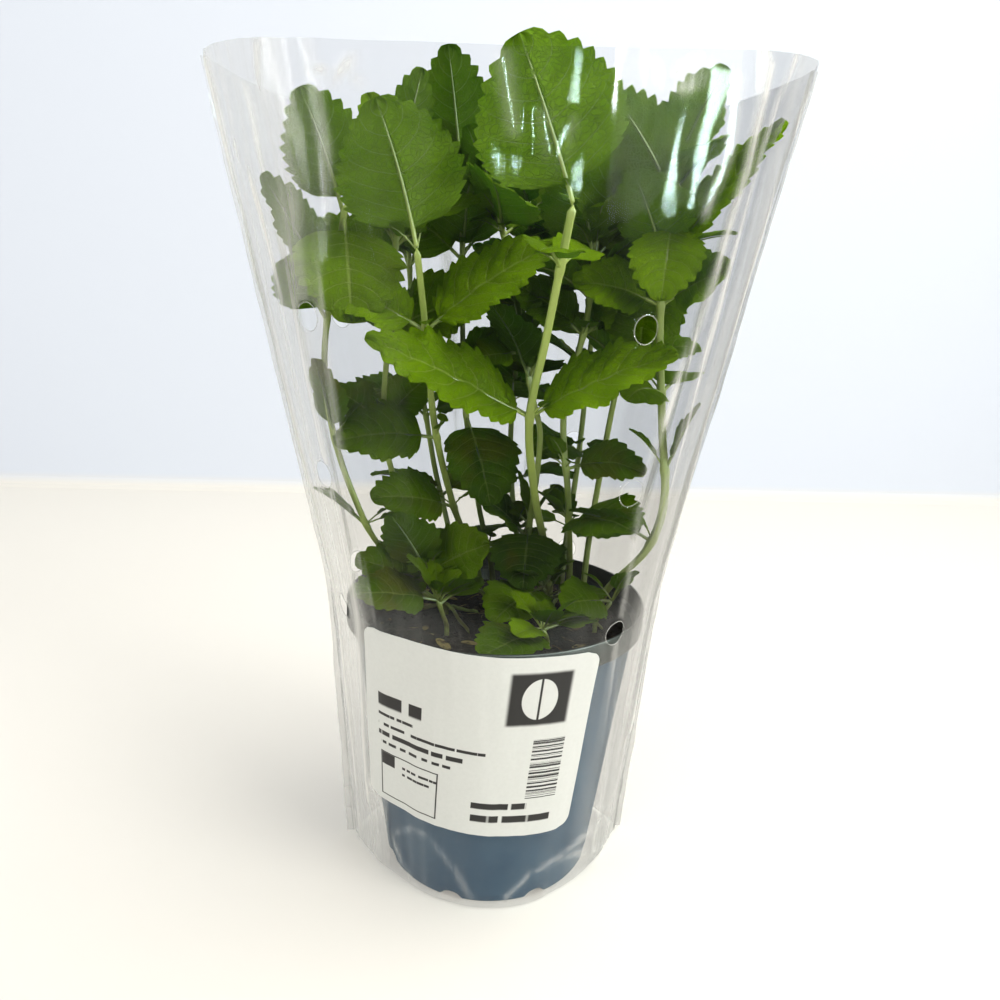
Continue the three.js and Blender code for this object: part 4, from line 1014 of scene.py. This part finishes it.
def film_relief(angle, z):
    """How far the film stands out of its smooth form, and how white it is creased there, partly as a painted
    glint.
    """
    turn = math.degrees(angle)
    out, white_and_glint = 0, 0
    ripple = 1.6 * noise.noise(Vector((turn / 30, z / 45, 0)))
    for width, stand, whiteness_and_glint, course in FOLDS:
        if abs(apart(turn, course[0][0])) > 60:
            continue
        near = 99
        for (start_turn, start_z), (end_turn, end_z) in zip(course, course[1:]):
            way = Vector((apart(turn, start_turn) * girth, z - start_z))
            along = Vector(((end_turn - start_turn) * girth, end_z - start_z))
            share = max(0, min(1, way.dot(along) / along.length_squared))
            near = min(near, (way - share * along).length)
        near += ripple * 0.5
        out += stand * math.exp(-((near / width) ** 2))
        white_and_glint = max(white_and_glint, whiteness_and_glint * math.exp(-((near / 1.4) ** 2)))
    place = Vector((math.sin(angle) * 2.2, math.cos(angle) * 2.2, z / 110))
    near_seam = abs(math.sin(angle)) ** 6
    crumple = noise.noise(place * 1.7) * 0.9
    crumple += noise.noise(Vector((place.x * 7, place.y * 7, place.z * 2.2))) * (0.25 + 0.9 * near_seam)
    crumple += noise.noise(Vector((place.x * 20, place.y * 20, place.z * 9))) * (0.06 + 0.4 * near_seam)
    return out + max(-0.3, crumple), white_and_glint


def film_haze_and_sheen(angle, z):
    """How milky the film is, with a painted sheen: clear in front where the leaves lie against it, milky and
    painted bright at its sides.
    """
    turn = math.degrees(angle)
    if abs(turn) > 92:
        return 0.05
    ripple = 2.5 * noise.noise(Vector((turn / 12, z / 25, 7)))
    left = fold_turn(FOLDS[0][3], z) - turn
    right = turn - fold_turn(FOLDS[1][3], z)
    low = 0.035 * smooth(132, 120, z) * (1 - 0.8 * math.exp(-(((turn - 2) / 15) ** 2)))
    low += 0.012 * smooth(-22, -19, left) + 0.06 * smooth(24, 38, turn) * smooth(125, 100, z)
    sides = 0.09 * smooth(-1, 1.5, left)
    sides += (0.12 + 0.1 * smooth(270, 245, z)) * smooth(4, 10, left + ripple)
    sides += 0.03 * smooth(-1, 1.5, right) + 0.16 * smooth(7, 15, right + ripple)
    return low + sides


def lay(vert, angle, z, out, white_and_glint, haze_and_sheen):
    """Puts a point of the film in its place and marks it. Its course is where it would be on a
    straight tube, so that streaks run along the sleeve."""
    vert.co = sleeve_point(angle, z, out)
    vert[white_layer] = white_and_glint
    vert[haze_layer] = haze_and_sheen
    round_tube = course_radius * math.sin(angle), course_radius * math.cos(angle)
    vert[course_layer] = Vector((*round_tube, z)) * MM


def top_edge(angle):
    return sleeve_height - top_tilt * (1 - math.sin(angle)) - top_dip * math.cos(angle) ** 2


def turn_out(sheet):
    """Turns the faces of an open sheet away from the middle of the part."""
    sheet.normal_update()
    if sum(face.normal.dot(face.calc_center_median()) for face in sheet.faces) < 0:
        bmesh.ops.reverse_faces(sheet, faces=sheet.faces)
        sheet.normal_update()


film = bmesh.new()
white_layer = film.verts.layers.float.new("white_and_glint")
haze_layer = film.verts.layers.float.new("haze_and_sheen")
course_layer = film.verts.layers.float_vector.new("course")
spots = grid(film, film_columns, film_rows)
for vert, share, up in spots:
    angle = share * FULL_TURN - math.pi
    angle -= 0.35 * math.sin(angle)  # the front sheet has the closer rows
    z = sleeve_foot + (top_edge(angle) - sleeve_foot) * up
    lay(vert, angle, z, *film_relief(angle, z), film_haze_and_sheen(angle, z))
bmesh.ops.remove_doubles(film, verts=film.verts, dist=1e-3)
turn_out(film)
bmesh.ops.solidify(film, geom=film.faces, thickness=film_thickness)

punches = bmesh.new()
vents = []
for z in vent_heights:
    for goal in vent_arcs:
        angle, arc = 0, 0
        step = math.copysign(FULL_TURN / 720, goal)
        while arc < abs(goal):
            arc += (sleeve_point(angle, z) - sleeve_point(angle + step, z)).length
            angle += step
        for turn in (angle, math.pi - angle):
            vents.append((turn, z))
            spot = sleeve_point(turn, z)
            flat = Vector((spot.x, spot.y, 0))
            place = Matrix.Translation(spot) @ flat.to_track_quat("Z", "Y").to_matrix().to_4x4()
            size = {"radius1": vent_radius, "radius2": vent_radius, "depth": 12}
            bmesh.ops.create_cone(punches, cap_ends=True, segments=40, matrix=place, **size)
film = cut_out(film, punches)
white_layer = film.verts.layers.float["white_and_glint"]
haze_layer = film.verts.layers.float["haze_and_sheen"]
course_layer = film.verts.layers.float_vector["course"]

# A fine lip stands round each punched vent.
lip_radius = 0.2
look = 0.01  # radians to each side, to measure the sleeve's width to a radian
for turn, height in vents:
    spots = grid(film, 48, 5)
    across = sleeve_point(turn + look, height) - sleeve_point(turn - look, height)
    reach_of_turn = across.length / (2 * look)
    for vert, along, around in spots:
        reach = vent_radius + lip_radius * math.cos(FULL_TURN * around)
        angle = turn + reach * math.cos(FULL_TURN * along) / reach_of_turn
        z = height + reach * math.sin(FULL_TURN * along)
        out, _ = film_relief(angle, z)
        lay(vert, angle, z, out + lip_radius * math.sin(FULL_TURN * around), white_and_glint=0.25, haze_and_sheen=0.1)
    bmesh.ops.remove_doubles(film, verts=[vert for vert, _, _ in spots], dist=1e-3)

# The welds: the two sheets run on as a flat strip along each side.
weld_width = 2.6
for way in (-1, 1):
    spots = grid(film, 140, 3)
    faces = faces_of(spots)
    for vert, up, across in spots:
        angle = way * math.pi / 2
        z = sleeve_foot + (top_edge(angle) - sleeve_foot) * up
        out, _ = film_relief(angle, z)
        wobble = 0.5 * noise.noise(Vector((z / 14, way * 4, across)))
        lay(vert, angle, z, out - 0.1, white_and_glint=0.3, haze_and_sheen=0.12)
        vert.co += Vector((way * across * weld_width, wobble * across, 0))
    film.normal_update()
    bmesh.ops.solidify(film, geom=faces, thickness=2 * film_thickness)
bmesh.ops.recalc_face_normals(film, faces=film.faces)

film_paint, wire, where = paint("clear_film")
facing = wire.make("ShaderNodeLayerWeight", None, {"Blend": 0.5}, out="Facing")
course = wire.mark("course", out="Vector")
streaks = wire.clouds(wire.stretched(course, (190, 190, 5)), 1, 4, 0.6)
specks = wire.clouds(where, 260, 3, 0.7).ramp(0.66, 0.78)
mirror = 0.003 + 0.55 * facing**7
# Creases whiten the film, and the same white paints glints of light along them.
creases_and_glints = wire.mark("white_and_glint") * streaks.ramp(0.34, 0.6) * 0.55
# The milk is the film's own haze together with a painted sheen on its sides.
milk_and_sheen = wire.mark("haze_and_sheen") * (0.5 + streaks.ramp(0.38, 0.68) * 0.45) + creases_and_glints + specks * 0.02
relief = streaks * 0.6 + wire.clouds(wire.stretched(course, (60, 60, 18)), 1, 3, 0.5)
creased = wire.bump(relief, 0.4, 0.0006)
# Painted shade: the film is made greyer towards the seam on the right.
painted_shade_right = course.part(0).ramp(0.036, 0.046) * 0.1  # towards the seam on the right
dulled = 0.06 + milk_and_sheen + painted_shade_right
body = wire.surface({
    "Base Color": milk_and_sheen.maths("DIVIDE", dulled).tint((0.02, 0.02, 0.02), (0.97, 0.96, 0.92)),
    "Roughness": 0.4,
    "Specular IOR Level": 0.08,
    "Alpha": dulled.maths("MINIMUM", 0.95),
    "Normal": creased,
})
gloss = wire.surface({
    "Base Color": (0.95, 0.98, 1, 1),
    "Metallic": 1,
    "Roughness": 0.05,
    "Normal": creased,
})
cover(wire, wire.make("ShaderNodeMixShader", None, {0: mirror, 1: body, 2: gloss}))
finish_piece("film_sleeve", film, [film_paint], ["sleeve"], sharp=60)

# ---------------------------------------------------------------- label
# A paper label stuck on the front sheet over the pot. It follows the folds of the film under it,
# and its print is a generic block, stripes, a box and bars.

label_width, label_height, label_corner = 79, 76, 5
label_thickness = 0.16
label_middle, label_angle, label_tilt = 75, math.radians(-11), math.radians(-3)
label_wrap = 58  # the radius of the sheet under it, about
label_lift = 0.25
label = bmesh.new()
uv_layer = label.loops.layers.uv.new("UVMap")
spots = grid(label, 72, 66)
faces = faces_of(spots)
places = {}
for vert, share, up in spots:
    y = (up - 0.5) * label_height
    into = max(0, abs(y) - (label_height / 2 - label_corner))
    x = (2 * share - 1) * (label_width / 2 - label_corner + math.sqrt(label_corner**2 - into**2))
    places[vert] = (x / label_width + 0.5, up)
    across = x * math.cos(label_tilt) - y * math.sin(label_tilt)
    rise = x * math.sin(label_tilt) + y * math.cos(label_tilt)
    angle = label_angle + across / label_wrap
    z = label_middle + rise
    out, _ = film_relief(angle, z)
    vert.co = sleeve_point(angle, z, out + label_lift)
for face in faces:
    for corner in face.loops:
        corner[uv_layer].uv = places[corner.vert]
turn_out(label)
bmesh.ops.solidify(label, geom=label.faces, thickness=-label_thickness)
bmesh.ops.recalc_face_normals(label, faces=label.faces)

label_paint, wire, where = paint("label_print")
unwrapped = wire.make("ShaderNodeTexCoord", out="UV")
x = unwrapped.part(0) * label_width
y = unwrapped.part(1) * label_height


def box(left, low, right, high, soft=0.12):
    """1 inside a rectangle of the label, in millimetres from its lower left corner."""
    inside = x.ramp(left - soft, left + soft) * x.ramp(right + soft, right - soft)
    return inside * y.ramp(low - soft, low + soft) * y.ramp(high + soft, high - soft)


def words(left, low, right, high, space):
    """A line of short bars in the place of words. The space is the usual length of a bar."""
    spread = wire.make("ShaderNodeCombineXYZ", None, {0: x * (1.3 / space), 1: low})
    breaks = wire.clouds(spread, 1, 1).ramp(0.60, 0.57)
    return box(left, low, right, high) * breaks * y.ramp(low, low + 0.2 * (high - low))


stripes = wire.clouds(wire.make("ShaderNodeCombineXYZ", None, {1: y * 1.15}), 1, 2).ramp(0.50, 0.49)
ink = words(6, 44, 23, 50, 9)
for line in (
    (6, 40, 20, 41.4, 3), (6, 35.6, 45, 37, 3), (6, 31, 38, 33.2, 4), (6, 27.4, 34, 28.8, 3),
    (41, 12, 61, 15, 5), (42, 6, 70, 9.4, 6), (16, 19, 30, 20.2, 2), (16, 16, 27, 17.2, 2),
):
    ink = ink.maths("MAXIMUM", words(*line))
ink = ink.maths("MAXIMUM", box(60, 17, 71, 43) * stripes)
frame_line = box(7, 3, 30, 24) - box(7.5, 3.5, 29.5, 23.5)
ink = ink.maths("MAXIMUM", frame_line).maths("MAXIMUM", box(7.5, 18, 13, 23.5))
block = box(50, 49, 70, 70, 0.8)
aside, above = x - 60, y - 59.5
bulge = (aside * 0.16) * (aside * 0.16) + (above * 0.115) * (above * 0.115)
leaf_shape = bulge.ramp(0.92, 0.84) * aside.maths("ABSOLUTE").ramp(0.25, 0.5)
ink = ink.maths("MAXIMUM", block * (1 - leaf_shape))
fibre = wire.clouds(where, 700, 3)
paper = fibre.tint((0.66, 0.67, 0.64), (0.72, 0.73, 0.70))
cover(wire, wire.surface({
    "Base Color": ink.tint(paper, (0.02, 0.018, 0.018)),
    "Roughness": 0.5 - ink * 0.12,
    "Normal": wire.bump(fibre, 0.15, 0.0002),
}))
finish_piece("paper_label", label, [label_paint], ["label"], sharp=60)

# ---------------------------------------------------------------- floor, light and camera
# The part stands on a pale sheet that runs up behind it. Soft light comes from above and from
# both sides. Small bright panels that light no surface leave their glints on the film.

backdrop = bmesh.new()
half_span = 3000
bend = [(-half_span, 0), (640, 0), (648, 3), (652, 12), (654, 3000)]
line = [backdrop.verts.new((-half_span, y, z)) for y, z in bend]
edges = [backdrop.edges.new(pair) for pair in zip(line, line[1:])]
for item in bmesh.ops.extrude_edge_only(backdrop, edges=edges)["geom"]:
    if isinstance(item, bmesh.types.BMVert):
        item.co.x += 2 * half_span
floor_paint, wire, where = paint("pale_paper")
upright = where.part(2).ramp(0, 0.02)
cover(wire, wire.surface({
    "Base Color": upright.tint((0.53, 0.512, 0.47), (0.46, 0.485, 0.525)),
    "Roughness": 0.8,
    "Specular IOR Level": 0.1,
    "Emission Color": upright.tint((1, 0.965, 0.89), (0.88, 0.92, 1)),
    "Emission Strength": 0.275,
}))
as_object("backdrop", backdrop, [floor_paint], sharp=0)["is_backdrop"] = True

scene = bpy.context.scene
scene.view_settings.view_transform = "Standard"
scene.view_settings.look = "Medium High Contrast"
world = bpy.data.worlds.new("even_light")
world.use_nodes = True
sky = world.node_tree.nodes["Background"].inputs
sky["Color"].default_value = (0.93, 0.96, 1, 1)
sky["Strength"].default_value = 0.22
scene.world = world
lit_spot = Vector((0, 0, 0.15))
# Each light has its place, size, watts and colour, and whether it lights rough surfaces.
for name, place, size, power, colour, diffuse in (
    ("soft_above", (0.45, -0.1, 1.4), (1.0, 1.0), 15, (1, 0.99, 0.96), True),
    ("soft_left", (-1.15, -0.55, 0.65), (0.5, 0.7), 5.5, (1, 0.98, 0.95), True),
    ("soft_right", (0.9, -0.7, 0.7), (0.6, 0.6), 8.5, (1, 0.98, 0.94), True),
    ("glint_front", (0.70, -0.97, 0.74), (0.06, 0.22), 9, (0.95, 0.98, 1), False),
    ("glint_middle", (0.36, -1.15, 0.62), (0.14, 0.2), 11, (0.75, 1, 0.88), False),
    ("glint_high", (-0.05, -1.2, 0.70), (0.05, 0.22), 5, (0.75, 1, 0.88), False),
    ("glint_right", (1.06, -0.60, 0.56), (0.2, 0.35), 34, (0.78, 1, 0.92), False),
    ("glint_left", (-1.18, -0.45, 0.48), (0.12, 0.5), 4, (1, 0.99, 0.96), False),
):
    light = bpy.data.objects.new(name, bpy.data.lights.new(name, "AREA"))
    light.data.shape = "RECTANGLE"
    light.data.size, light.data.size_y = size
    light.data.energy = power
    light.data.color = colour
    light.location = place
    light.rotation_euler = (lit_spot - Vector(place)).to_track_quat("-Z", "Y").to_euler()
    light.visible_diffuse = diffuse
    bpy.context.collection.objects.link(light)

# The camera stands close, a little to the left, and looks down on the pot.
camera_place = (-0.02507, -0.29002, 0.2214)
camera_aside, camera_down, camera_roll = -5, 13.61, 2.23
camera = bpy.data.objects.new("camera", bpy.data.cameras.new("camera"))
camera.data.lens = 27.04
camera.data.sensor_width = 36
camera.matrix_world = (
    Matrix.Translation(camera_place)
    @ Matrix.Rotation(math.radians(camera_aside), 4, "Z")
    @ Matrix.Rotation(math.radians(90 - camera_down), 4, "X")
    @ Matrix.Rotation(math.radians(camera_roll), 4, "Z")
)
bpy.context.collection.objects.link(camera)
scene.camera = camera

sizes = {"cad": cad_box, "visual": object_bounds()}
{name: [list(corner) for corner in box] for name, box in sizes.items()}
